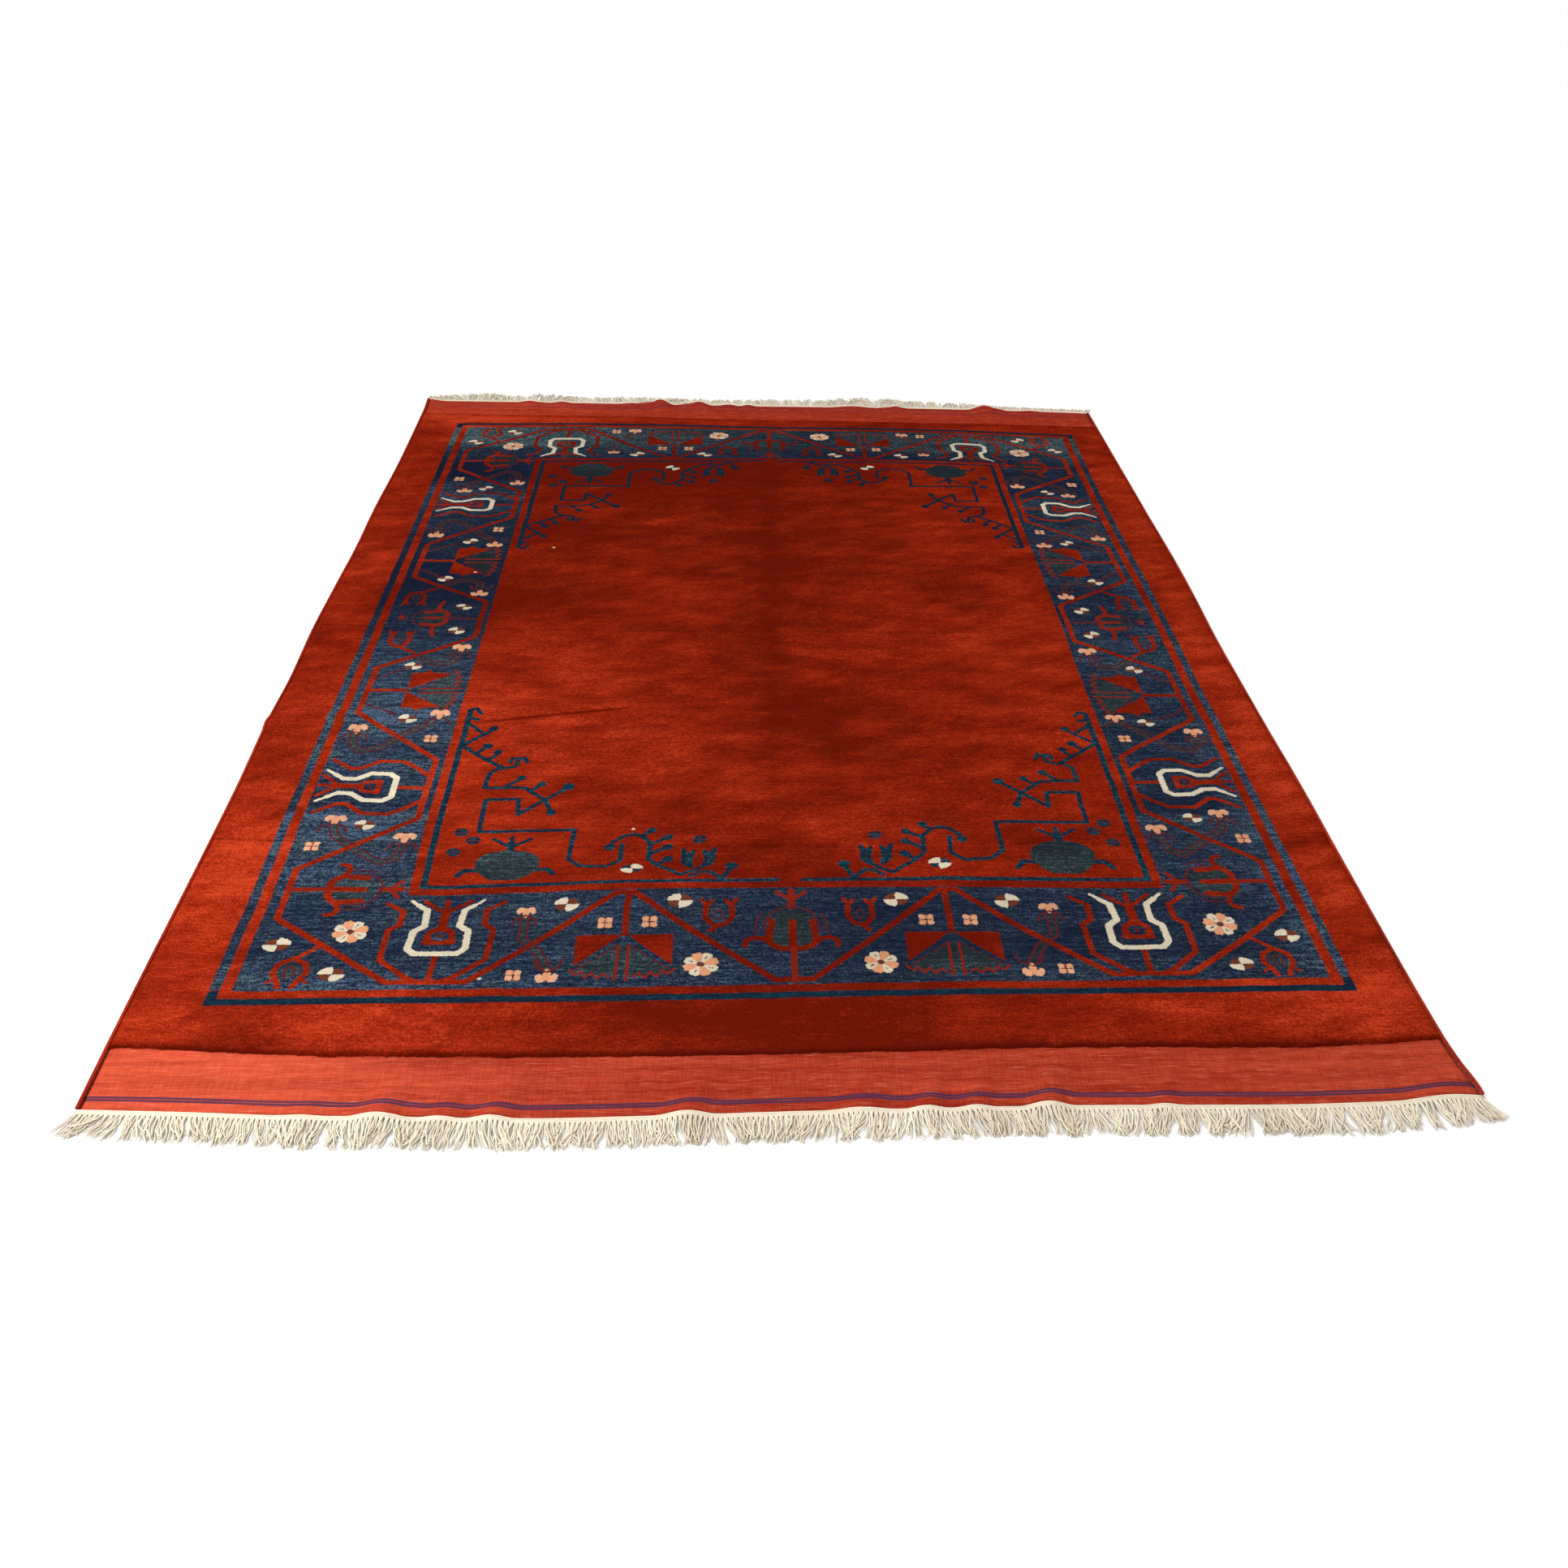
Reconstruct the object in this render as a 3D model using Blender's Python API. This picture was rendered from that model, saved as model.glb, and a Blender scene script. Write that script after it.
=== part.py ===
"""Hand-knotted gabbeh rug, lying flat on the floor.

Each sub-part is one closed solid:
  rug_body                       woven body: thick pile between two thin flat-woven ends, with its ripples
  selvedge_left, selvedge_right  overcast cords along the two long sides
  fringe_front, fringe_back      twined band and loose locks of the warp ends

Units are metres, +X to the right, +Y to the back end, +Z up. The origin is on the floor under the rug's
middle. The underside is flat at z = 0, apart from where the cloth itself rises in a ripple.
"""

import math
import random

import bmesh
import bpy

# Thicknesses
PILE_THICKNESS = 0.011
EDGE_PILE_THICKNESS = 0.008
FLATWEAVE_THICKNESS = 0.003
PILE_STEP = 0.003  # half the width over which the pile drops to the flat-woven end
SHOULDER = 0.012  # width over which the pile thins towards the long sides
PILE_LUMP = 0.0005

# Gap that separate sub-parts keep
CLEARANCE = 0.0003

# The hems lie about this far from the origin
HALF_LENGTH = 1.5

SELVEDGE_RADIUS = 0.0035
SELVEDGE_END_GAP = 0.001

# Outline of the rug with its selvedges: y, then x of the left and the right side
SIDE_COLUMNS = ("y", "left", "right")
SIDES = [
    (-1.54, -1.0550, 1.0650),
    (-1.49, -1.0550, 1.0625),
    (-1.44, -1.0555, 1.0545),
    (-1.35, -1.0560, 1.0510),
    (-1.20, -1.0560, 1.0490),
    (-0.90, -1.0550, 1.0490),
    (-0.65, -1.0560, 1.0500),
    (-0.43, -1.0610, 1.0470),
    (-0.25, -1.0580, 1.0460),
    (-0.03, -1.0630, 1.0455),
    (0.20, -1.0610, 1.0505),
    (0.40, -1.0580, 1.0520),
    (0.65, -1.0605, 1.0490),
    (0.95, -1.0575, 1.0465),
    (1.25, -1.0600, 1.0440),
    (1.50, -1.0640, 1.0420),
]

# The two ends: x, then y of the front hem, the foot of the pile at each end, and the back hem
END_COLUMNS = ("x", "front_hem", "front_foot", "back_foot", "back_hem")
ENDS = [
    (-1.06, -1.4955, -1.370, 1.362, 1.493),
    (-0.90, -1.5035, -1.381, 1.365, 1.496),
    (-0.75, -1.5130, -1.393, 1.367, 1.499),
    (-0.60, -1.5180, -1.397, 1.368, 1.501),
    (-0.40, -1.5255, -1.402, 1.369, 1.503),
    (-0.20, -1.5230, -1.401, 1.369, 1.505),
    (0.00, -1.5185, -1.400, 1.369, 1.507),
    (0.20, -1.5160, -1.396, 1.370, 1.512),
    (0.40, -1.5145, -1.393, 1.371, 1.516),
    (0.60, -1.5170, -1.394, 1.371, 1.517),
    (0.75, -1.5190, -1.398, 1.369, 1.516),
    (0.90, -1.5155, -1.394, 1.366, 1.512),
    (1.06, -1.5070, -1.382, 1.362, 1.505),
]

# Ripples that rise at a hem and die out inward: x at the hem, half width, height
FRONT_RIPPLES = [
    (-0.730, 0.040, 0.0025),
    (-0.620, 0.050, 0.0100),
    (-0.530, 0.032, 0.0040),
    (-0.455, 0.040, 0.0080),
    (-0.170, 0.050, 0.0100),
    (0.090, 0.055, 0.0060),
    (0.190, 0.035, 0.0070),
    (0.265, 0.035, 0.0060),
    (0.375, 0.045, 0.0110),
    (0.555, 0.032, 0.0040),
    (1.000, 0.085, 0.0080),
]
BACK_RIPPLES = [
    (-1.055, 0.035, 0.0060),
    (-0.750, 0.040, 0.0050),
    (-0.650, 0.035, 0.0045),
    (-0.430, 0.050, 0.0035),
    (-0.341, 0.045, 0.0170),
    (-0.220, 0.045, 0.0120),
    (-0.125, 0.035, 0.0045),
    (-0.063, 0.028, 0.0045),
    (0.270, 0.080, 0.0050),
    (0.410, 0.035, 0.0070),
    (0.700, 0.060, 0.0155),
    (0.850, 0.040, 0.0025),
]
RIPPLE_REACH = 0.135
RIPPLE_SLANT = 0.3  # sideways drift of a crest for each metre inward

# The soft diagonal fold that runs in from the left side
FOLD_START = (-1.062, -0.435)
FOLD_END = (-0.09, -0.29)
FOLD_HALF_WIDTH = 0.035
FOLD_HEIGHT = 0.005

# Mesh lines of the body
COLUMNS = 64
NARROWEST_COLUMN = 0.016
LOW_RIPPLE = 0.005  # ripples up to this height get fewer columns
HEM_ROWS = (0.0, 0.018, 0.042, 0.070, 0.100)  # inward from a hem
PILE_ROW = 0.045  # inward from the foot of the pile
FRONT_ROWS = (-1.22, -0.98, -0.76, -0.58)
FOLD_ROWS = (-1.0, -0.5, 0.0, 0.5, 1.0)  # in half widths of the fold
BACK_ROWS = (-0.10, 0.12, 0.34, 0.56, 0.78, 1.00, 1.22)

# Fringes
LOCKS = 100
BAND_DEPTH = 0.008
BAND_THICKNESS = 0.0035
LOCK_STATIONS = (0.34, 0.70, 1.0)  # along a lock, as parts of its length
LOCK_WIDTHS = (0.66, 0.56, 0.34)  # as parts of the pitch
LOCK_THICKNESSES = (0.0032, 0.0028, 0.0020)
LOCK_DROP = (0.55, 0.0, 0.0)  # of the band's height over the floor
LOCK_JITTER = 0.10  # of the pitch
LOCK_STRETCH = (0.88, 1.08)  # shortest and longest lock, as parts of the length at its place

# Length of the loose locks, and their lean in x for each metre outward
FRINGE_COLUMNS = ("x", "front_length", "front_lean", "back_length", "back_lean")
FRINGE = [
    (-1.06, 0.043, -0.42, 0.030, -0.55),
    (-0.98, 0.045, -0.20, 0.048, -0.25),
    (-0.90, 0.048, 0.05, 0.066, -0.10),
    (-0.78, 0.050, 0.12, 0.046, 0.05),
    (-0.72, 0.052, 0.02, 0.070, 0.12),
    (-0.60, 0.051, -0.15, 0.044, 0.05),
    (-0.40, 0.050, 0.10, 0.056, -0.05),
    (-0.25, 0.049, 0.22, 0.046, 0.05),
    (-0.10, 0.049, 0.12, 0.044, 0.10),
    (0.08, 0.050, -0.10, 0.056, -0.05),
    (0.18, 0.050, 0.05, 0.058, 0.10),
    (0.30, 0.049, 0.10, 0.082, 0.02),
    (0.50, 0.050, -0.05, 0.058, -0.05),
    (0.66, 0.052, 0.08, 0.040, 0.05),
    (0.80, 0.054, -0.05, 0.024, 0.00),
    (0.95, 0.049, 0.10, 0.022, 0.15),
    (1.06, 0.043, 0.40, 0.020, 0.45),
]

# Colours, linear
BRICK_RED = (0.30, 0.022, 0.008, 1.0)
DARK_RED = (0.16, 0.010, 0.006, 1.0)
COTTON = (0.62, 0.55, 0.43, 1.0)


def along(table, columns, name, place):
    """A column of a table at a place along it, on a smooth curve through the rows."""
    k = columns.index(name)
    last = len(table) - 1
    i = 0
    while i < last - 1 and table[i + 1][0] < place:
        i += 1
    before, start = table[max(i - 1, 0)], table[i]
    end, after = table[i + 1], table[min(i + 2, last)]
    span = end[0] - start[0]
    t = min(max((place - start[0]) / span, 0.0), 1.0)
    start_slope = (end[k] - before[k]) / (end[0] - before[0]) * span
    end_slope = (after[k] - start[k]) / (after[0] - start[0]) * span
    return (
        start[k] * (2 * t**3 - 3 * t**2 + 1)
        + start_slope * (t**3 - 2 * t**2 + t)
        + end[k] * (3 * t**2 - 2 * t**3)
        + end_slope * (t**3 - t**2)
    )


def side(name, y):
    return along(SIDES, SIDE_COLUMNS, name, y)


def end(name, x):
    return along(ENDS, END_COLUMNS, name, x)


def fringe(name, x):
    return along(FRINGE, FRINGE_COLUMNS, name, x)


def hump(distance, half_width):
    """1 on a crest, and 0 from half_width on."""
    if abs(distance) >= half_width:
        return 0.0
    return 0.5 + 0.5 * math.cos(math.pi * distance / half_width)


def ease(t):
    t = min(max(t, 0.0), 1.0)
    return t * t * (3 - 2 * t)


def ripples(table, x, inward):
    fade = 1 - ease(inward / RIPPLE_REACH)
    drift = RIPPLE_SLANT * max(inward, 0.0)
    return fade * sum(height * hump(x - drift - crest, half) for crest, half, height in table)


def fold_line(x):
    t = (x - FOLD_START[0]) / (FOLD_END[0] - FOLD_START[0])
    return FOLD_START[1] + (FOLD_END[1] - FOLD_START[1]) * min(max(t, 0.0), 1.0)


def fold(x, y):
    t = (x - FOLD_START[0]) / (FOLD_END[0] - FOLD_START[0])
    return FOLD_HEIGHT * (1 - ease(t)) * hump(y - fold_line(x), FOLD_HALF_WIDTH)


def lift(x, y):
    """How far the cloth's underside stands over the floor."""
    from_front = y - end("front_hem", x)
    from_back = end("back_hem", x) - y
    return ripples(FRONT_RIPPLES, x, from_front) + ripples(BACK_RIPPLES, x, from_back) + fold(x, y)


def thickness(x, y):
    """Pile over most of the rug, thinner at the long sides, and bare flat weave at the ends."""
    pile_side = min(y - end("front_foot", x), end("back_foot", x) - y)
    pile = ease((pile_side + PILE_STEP) / (2 * PILE_STEP))
    edge = min(x - body_side("left", y), body_side("right", y) - x)
    full = EDGE_PILE_THICKNESS + (PILE_THICKNESS - EDGE_PILE_THICKNESS) * ease(edge / SHOULDER)
    full += PILE_LUMP * (math.sin(9 * x + 4 * y) + math.sin(5 * x - 7 * y + 1)) * ease(edge / SHOULDER)
    return FLATWEAVE_THICKNESS + (full - FLATWEAVE_THICKNESS) * pile


def body_side(name, y):
    """x of the body's side, inside its selvedge."""
    inward = 1 if name == "left" else -1
    return side(name, y) + inward * (2 * SELVEDGE_RADIUS + CLEARANCE)


def column_places(table, y):
    """COLUMNS places across the rug at y, with points on each ripple's crest, flanks and feet."""
    left, right = body_side("left", y), body_side("right", y)
    places = [left, left + SHOULDER, right - SHOULDER, right]
    for part in (0, 1, -1, 0.5, -0.5):
        for crest, half_width, height in table:
            place = crest + part * half_width
            clear = all(abs(place - other) > NARROWEST_COLUMN for other in places)
            wanted = height > LOW_RIPPLE or abs(part) != 0.5
            if clear and wanted and left < place < right:
                places.append(place)
    places.sort()
    while len(places) < COLUMNS:
        gaps = [b - a for a, b in zip(places, places[1:])]
        widest = gaps.index(max(gaps))
        places.insert(widest + 1, places[widest] + gaps[widest] / 2)
    return places


def row_places(x):
    """y of each mesh row at this x, from the front hem to the back hem."""
    front_foot, back_foot = end("front_foot", x), end("back_foot", x)
    front_hem, back_hem = end("front_hem", x), end("back_hem", x)
    rows = [front_hem + inward for inward in HEM_ROWS]
    rows += [front_foot - PILE_STEP, front_foot + PILE_STEP, front_foot + PILE_ROW]
    rows += FRONT_ROWS
    rows += [fold_line(x) + part * FOLD_HALF_WIDTH for part in FOLD_ROWS]
    rows += BACK_ROWS
    rows += [back_foot - PILE_ROW, back_foot - PILE_STEP, back_foot + PILE_STEP]
    rows += [back_hem - inward for inward in reversed(HEM_ROWS)]
    return rows


def material(name, colour, roughness):
    made = bpy.data.materials.new(name)
    made.use_nodes = True
    shader = made.node_tree.nodes["Principled BSDF"]
    shader.inputs["Base Color"].default_value = colour
    shader.inputs["Roughness"].default_value = roughness
    shader.inputs["Metallic"].default_value = 0.0
    return made


def add_object(name, data, collection, finish):
    made = bpy.data.objects.new(name, data)
    made.data.materials.append(finish)
    collection.objects.link(made)
    return made


def mesh_from(bm, name):
    bmesh.ops.recalc_face_normals(bm, faces=bm.faces)
    mesh = bpy.data.meshes.new(name)
    bm.to_mesh(mesh)
    bm.free()
    return mesh


def grid_points(bm, columns, rows):
    """A new flat grid's vertices as a list of columns, each a list of rows."""
    bmesh.ops.create_grid(bm, x_segments=columns - 1, y_segments=rows - 1, size=0.5)
    ordered = sorted(bm.verts, key=lambda v: (round(v.co.x, 5), v.co.y))
    return [ordered[k * rows : (k + 1) * rows] for k in range(columns)]


def build_body(collection, finish):
    """Underside placed first, then the top extruded from it by the cloth's thickness."""
    front = column_places(FRONT_RIPPLES, -HALF_LENGTH)
    back = column_places(BACK_RIPPLES, HALF_LENGTH)
    rows = len(row_places(0.0))
    bm = bmesh.new()
    points = grid_points(bm, COLUMNS, rows)
    for k, column in enumerate(points):
        for j, vertex in enumerate(column):
            along_rug = j / (rows - 1)
            x = front[k] + (back[k] - front[k]) * along_rug
            y = row_places(x)[j]
            if k in (0, COLUMNS - 1):
                x = body_side("left" if k == 0 else "right", y)
            elif k in (1, COLUMNS - 2):
                x = body_side("left", y) + SHOULDER if k == 1 else body_side("right", y) - SHOULDER
            vertex.co = (x, y, lift(x, y))
    extruded = bmesh.ops.extrude_face_region(bm, geom=bm.faces[:])["geom"]
    for vertex in (item for item in extruded if isinstance(item, bmesh.types.BMVert)):
        vertex.co.z += thickness(vertex.co.x, vertex.co.y)
    return add_object("rug_body", mesh_from(bm, "rug_body"), collection, finish)


def build_selvedge(name, collection, finish):
    """A tube along one long side, with a point at each of the body's rows."""
    outward = -1 if name == "left" else 1
    stations = row_places(body_side(name, 0.0))
    stations[0] += SELVEDGE_END_GAP
    stations[-1] -= SELVEDGE_END_GAP
    curve = bpy.data.curves.new("selvedge_" + name, "CURVE")
    curve.dimensions = "3D"
    curve.bevel_depth = SELVEDGE_RADIUS
    curve.bevel_resolution = 2
    curve.use_fill_caps = True
    spline = curve.splines.new("POLY")
    spline.points.add(len(stations) - 1)
    for point, y in zip(spline.points, stations):
        edge = body_side(name, y)
        x = edge + outward * (CLEARANCE + SELVEDGE_RADIUS)
        point.co = (x, y, lift(edge, y) + SELVEDGE_RADIUS, 1.0)
    return add_object("selvedge_" + name, curve, collection, finish)


def fringe_band(name, left, pitch):
    """The twined band just outside the hem, as a bmesh with one outer face for each lock."""
    outward = -1 if name == "front" else 1
    bm = bmesh.new()
    for k, (low, high) in enumerate(grid_points(bm, LOCKS + 1, 2)):
        x = left + k * pitch
        hem = end(name + "_hem", x)
        inner = hem + outward * CLEARANCE
        front, back = sorted((inner, inner + outward * BAND_DEPTH))
        low.co = (x, front, lift(x, hem))
        high.co = (x, back, low.co.z)
    extruded = bmesh.ops.extrude_face_region(bm, geom=bm.faces[:])["geom"]
    for vertex in (item for item in extruded if isinstance(item, bmesh.types.BMVert)):
        vertex.co.z += BAND_THICKNESS
    bmesh.ops.recalc_face_normals(bm, faces=bm.faces)
    bm.normal_update()
    return bm, [face for face in bm.faces if face.normal.y * outward > 0.9]


def place_lock_end(face, x, y, z, width, height):
    """Moves a lock's end face to a level rectangle with its foot at z."""
    by_side = sorted(face.verts, key=lambda v: v.co.x)
    for across, pair in ((-width / 2, by_side[:2]), (width / 2, by_side[2:])):
        low, high = sorted(pair, key=lambda v: v.co.z)
        low.co = (x + across, y, z)
        high.co = (x + across, y, z + height)


def build_fringe(name, collection, finish, seed):
    """The band, with a lock drawn out of each of its outer faces, down to the floor and along it."""
    outward = -1 if name == "front" else 1
    left, right = (side(edge, outward * HALF_LENGTH) for edge in ("left", "right"))
    pitch = (right - left) / LOCKS
    chance = random.Random(seed)
    draws = [(chance.uniform(-1, 1), chance.uniform(*LOCK_STRETCH)) for _ in range(LOCKS)]
    bm, ends = fringe_band(name, left, pitch)
    for step, station in enumerate(LOCK_STATIONS):
        ends = bmesh.ops.extrude_discrete_faces(bm, faces=ends)["faces"]
        ends.sort(key=lambda face: face.calc_center_median().x)
        for k, face in enumerate(ends):
            aside, stretch = draws[k]
            root = left + (k + 0.5) * pitch
            hem = end(name + "_hem", root)
            reach = fringe(name + "_length", root) * stretch * station
            x = root + fringe(name + "_lean", root) * reach + aside * LOCK_JITTER * pitch * station
            y = hem + outward * (CLEARANCE + BAND_DEPTH + reach)
            z = LOCK_DROP[step] * lift(root, hem)
            place_lock_end(face, x, y, z, LOCK_WIDTHS[step] * pitch, LOCK_THICKNESSES[step])
    return add_object("fringe_" + name, mesh_from(bm, "fringe_" + name), collection, finish)


def clear_scene():
    for made in list(bpy.data.objects):
        bpy.data.objects.remove(made, do_unlink=True)


def main():
    clear_scene()
    collection = bpy.data.collections.new("gabbeh_rug")
    bpy.context.scene.collection.children.link(collection)
    wool = material("rug_wool", BRICK_RED, 0.95)
    edging = material("selvedge_wool", DARK_RED, 0.95)
    cotton = material("fringe_cotton", COTTON, 0.9)
    build_body(collection, wool)
    build_selvedge("left", collection, edging)
    build_selvedge("right", collection, edging)
    build_fringe("front", collection, cotton, seed=3)
    build_fringe("back", collection, cotton, seed=8)


main()
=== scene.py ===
"""Looks of the hand-knotted gabbeh rug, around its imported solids.

The woven body is rebuilt as fine sheets: four lengths of knotted pile and two flat-woven ends. Each point
of the pile carries its distance to the shapes woven in each colour, and the wool's material draws the
pattern from those. Cords and fringes are rebuilt from their yarns.

Metres, +X to the right, +Y to the back end, +Z up. Only the chart of the woven pattern is in millimetres.
"""

import bpy
import numpy as np
from mathutils import Matrix, Vector


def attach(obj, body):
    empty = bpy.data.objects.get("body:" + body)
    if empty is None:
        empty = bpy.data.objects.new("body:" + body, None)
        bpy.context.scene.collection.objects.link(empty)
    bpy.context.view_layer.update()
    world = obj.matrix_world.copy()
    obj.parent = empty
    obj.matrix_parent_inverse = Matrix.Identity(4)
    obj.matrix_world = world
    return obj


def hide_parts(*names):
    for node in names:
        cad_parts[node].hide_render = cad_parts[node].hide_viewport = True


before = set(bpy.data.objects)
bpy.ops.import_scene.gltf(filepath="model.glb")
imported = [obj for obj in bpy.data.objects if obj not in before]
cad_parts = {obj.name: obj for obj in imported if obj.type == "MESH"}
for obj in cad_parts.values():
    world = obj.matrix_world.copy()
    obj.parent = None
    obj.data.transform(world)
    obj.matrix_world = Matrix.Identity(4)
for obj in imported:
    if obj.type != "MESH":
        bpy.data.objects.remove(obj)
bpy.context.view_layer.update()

# ---------------------------------------------------------------- the rug's shape, as in its solids

PILE_THICKNESS = 0.011
EDGE_PILE_THICKNESS = 0.008
FLATWEAVE_THICKNESS = 0.003
SHOULDER = 0.012
CLEARANCE = 0.0003
SELVEDGE_RADIUS = 0.0035
HALF_LENGTH = 1.5

SIDE_COLUMNS = ("y", "left", "right")
SIDES = [
    (-1.54, -1.055, 1.065),
    (-1.49, -1.055, 1.0625),
    (-1.44, -1.0555, 1.0545),
    (-1.35, -1.056, 1.051),
    (-1.2, -1.056, 1.049),
    (-0.9, -1.055, 1.049),
    (-0.65, -1.056, 1.05),
    (-0.43, -1.061, 1.047),
    (-0.25, -1.058, 1.046),
    (-0.03, -1.063, 1.0455),
    (0.2, -1.061, 1.0505),
    (0.4, -1.058, 1.052),
    (0.65, -1.0605, 1.049),
    (0.95, -1.0575, 1.0465),
    (1.25, -1.06, 1.044),
    (1.5, -1.064, 1.042),
]

END_COLUMNS = ("x", "front_hem", "front_foot", "back_foot", "back_hem")
ENDS = [
    (-1.06, -1.4955, -1.37, 1.362, 1.493),
    (-0.9, -1.5035, -1.381, 1.365, 1.496),
    (-0.75, -1.513, -1.393, 1.367, 1.499),
    (-0.6, -1.518, -1.397, 1.368, 1.501),
    (-0.4, -1.5255, -1.402, 1.369, 1.503),
    (-0.2, -1.523, -1.401, 1.369, 1.505),
    (0.0, -1.5185, -1.4, 1.369, 1.507),
    (0.2, -1.516, -1.396, 1.37, 1.512),
    (0.4, -1.5145, -1.393, 1.371, 1.516),
    (0.6, -1.517, -1.394, 1.371, 1.517),
    (0.75, -1.519, -1.398, 1.369, 1.516),
    (0.9, -1.5155, -1.394, 1.366, 1.512),
    (1.06, -1.507, -1.382, 1.362, 1.505),
]

# Ripples: x at the hem, half width, height
FRONT_RIPPLES = [
    (-0.73, 0.04, 0.0025),
    (-0.62, 0.05, 0.01),
    (-0.53, 0.032, 0.004),
    (-0.455, 0.04, 0.008),
    (-0.17, 0.05, 0.01),
    (0.09, 0.055, 0.006),
    (0.19, 0.035, 0.007),
    (0.265, 0.035, 0.006),
    (0.375, 0.045, 0.011),
    (0.555, 0.032, 0.004),
    (1.0, 0.085, 0.008),
]
BACK_RIPPLES = [
    (-1.055, 0.035, 0.006),
    (-0.75, 0.04, 0.005),
    (-0.65, 0.035, 0.0045),
    (-0.43, 0.05, 0.0035),
    (-0.341, 0.045, 0.017),
    (-0.22, 0.045, 0.012),
    (-0.125, 0.035, 0.0045),
    (-0.063, 0.028, 0.0045),
    (0.27, 0.08, 0.005),
    (0.41, 0.035, 0.007),
    (0.7, 0.06, 0.0155),
    (0.85, 0.04, 0.0025),
]
RIPPLE_REACH = 0.135  # ripples fade out this far in from the hem
RIPPLE_SLANT = 0.3

# A low fold: the line of its crest from the left side, where it is highest
FOLD_START = (-1.062, -0.435)
FOLD_END = (-0.09, -0.29)
FOLD_HALF_WIDTH = 0.035
FOLD_HEIGHT = 0.005

# Length of the loose locks, and their lean in x for each metre outward
FRINGE_COLUMNS = ("x", "front_length", "front_lean", "back_length", "back_lean")
FRINGE = [
    (-1.06, 0.043, -0.42, 0.03, -0.55),
    (-0.98, 0.045, -0.2, 0.048, -0.25),
    (-0.9, 0.048, 0.05, 0.066, -0.1),
    (-0.78, 0.05, 0.12, 0.046, 0.05),
    (-0.72, 0.052, 0.02, 0.07, 0.12),
    (-0.6, 0.051, -0.15, 0.044, 0.05),
    (-0.4, 0.05, 0.1, 0.056, -0.05),
    (-0.25, 0.049, 0.22, 0.046, 0.05),
    (-0.1, 0.049, 0.12, 0.044, 0.1),
    (0.08, 0.05, -0.1, 0.056, -0.05),
    (0.18, 0.05, 0.05, 0.058, 0.1),
    (0.3, 0.049, 0.1, 0.082, 0.02),
    (0.5, 0.05, -0.05, 0.058, -0.05),
    (0.66, 0.052, 0.08, 0.04, 0.05),
    (0.8, 0.054, -0.05, 0.024, 0.0),
    (0.95, 0.049, 0.1, 0.022, 0.15),
    (1.06, 0.043, 0.4, 0.02, 0.45),
]


def along(table, columns, name, place):
    """A column of a table at places along it, on a smooth curve through the rows."""
    rows = np.array(table)
    k = columns.index(name)
    last = len(rows) - 1
    place = np.asarray(place, float)
    i = np.clip(np.searchsorted(rows[:, 0], place) - 1, 0, last - 1)
    before, start = rows[np.maximum(i - 1, 0)], rows[i]
    end_row, after = rows[i + 1], rows[np.minimum(i + 2, last)]
    span = end_row[..., 0] - start[..., 0]
    t = np.clip((place - start[..., 0]) / span, 0.0, 1.0)
    start_slope = (end_row[..., k] - before[..., k]) / (end_row[..., 0] - before[..., 0]) * span
    end_slope = (after[..., k] - start[..., k]) / (after[..., 0] - start[..., 0]) * span
    return (
        start[..., k] * (2 * t**3 - 3 * t**2 + 1)
        + start_slope * (t**3 - 2 * t**2 + t)
        + end_row[..., k] * (3 * t**2 - 2 * t**3)
        + end_slope * (t**3 - t**2)
    )


def side(name, y):
    return along(SIDES, SIDE_COLUMNS, name, y)


def end(name, x):
    return along(ENDS, END_COLUMNS, name, x)


def fringe(name, x):
    return along(FRINGE, FRINGE_COLUMNS, name, x)


def body_side(name, y):
    """x of the body's side, inside its selvedge."""
    inward = 1 if name == "left" else -1
    return side(name, y) + inward * (2 * SELVEDGE_RADIUS + CLEARANCE)


def hump(distance, half_width):
    return np.where(np.abs(distance) < half_width, 0.5 + 0.5 * np.cos(np.pi * distance / half_width), 0.0)


def ease(t):
    t = np.clip(t, 0.0, 1.0)
    return t * t * (3 - 2 * t)


def ripples(table, x, inward):
    fade = 1 - ease(inward / RIPPLE_REACH)
    drift = RIPPLE_SLANT * np.maximum(inward, 0.0)
    return fade * sum(height * hump(x - drift - crest, half) for crest, half, height in table)


def lift(x, y):
    """How far the cloth's underside stands over the floor."""
    t = (x - FOLD_START[0]) / (FOLD_END[0] - FOLD_START[0])
    line = FOLD_START[1] + (FOLD_END[1] - FOLD_START[1]) * np.clip(t, 0.0, 1.0)
    fold = FOLD_HEIGHT * (1 - ease(t)) * hump(y - line, FOLD_HALF_WIDTH)
    front = ripples(FRONT_RIPPLES, x, y - end("front_hem", x))
    back = ripples(BACK_RIPPLES, x, end("back_hem", x) - y)
    return front + back + fold


# ---------------------------------------------------------------- smooth noise for shapes and shades

LATTICE = 256


def noise(x, y, size_x, size_y, seed):
    """Smooth noise from -1 to 1 over the rug, in cells of this size."""
    values = np.random.default_rng(seed).uniform(-1, 1, (LATTICE, LATTICE))
    px, py = x / size_x + LATTICE / 2, y / size_y + LATTICE / 2
    i, j = np.floor(px).astype(int), np.floor(py).astype(int)
    tx, ty = ease(px - i), ease(py - j)
    i, j, right, up = i % LATTICE, j % LATTICE, (i + 1) % LATTICE, (j + 1) % LATTICE
    low = values[i, j] * (1 - tx) + values[right, j] * tx
    high = values[i, up] * (1 - tx) + values[right, up] * tx
    return low * (1 - ty) + high * ty


def noises(table, x, y):
    """The sum of noises, each with its amount, the size of its cells, its slant and its seed."""
    return sum(amount * noise(x + slant * y, y, *size, seed) for amount, size, slant, seed in table)


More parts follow.
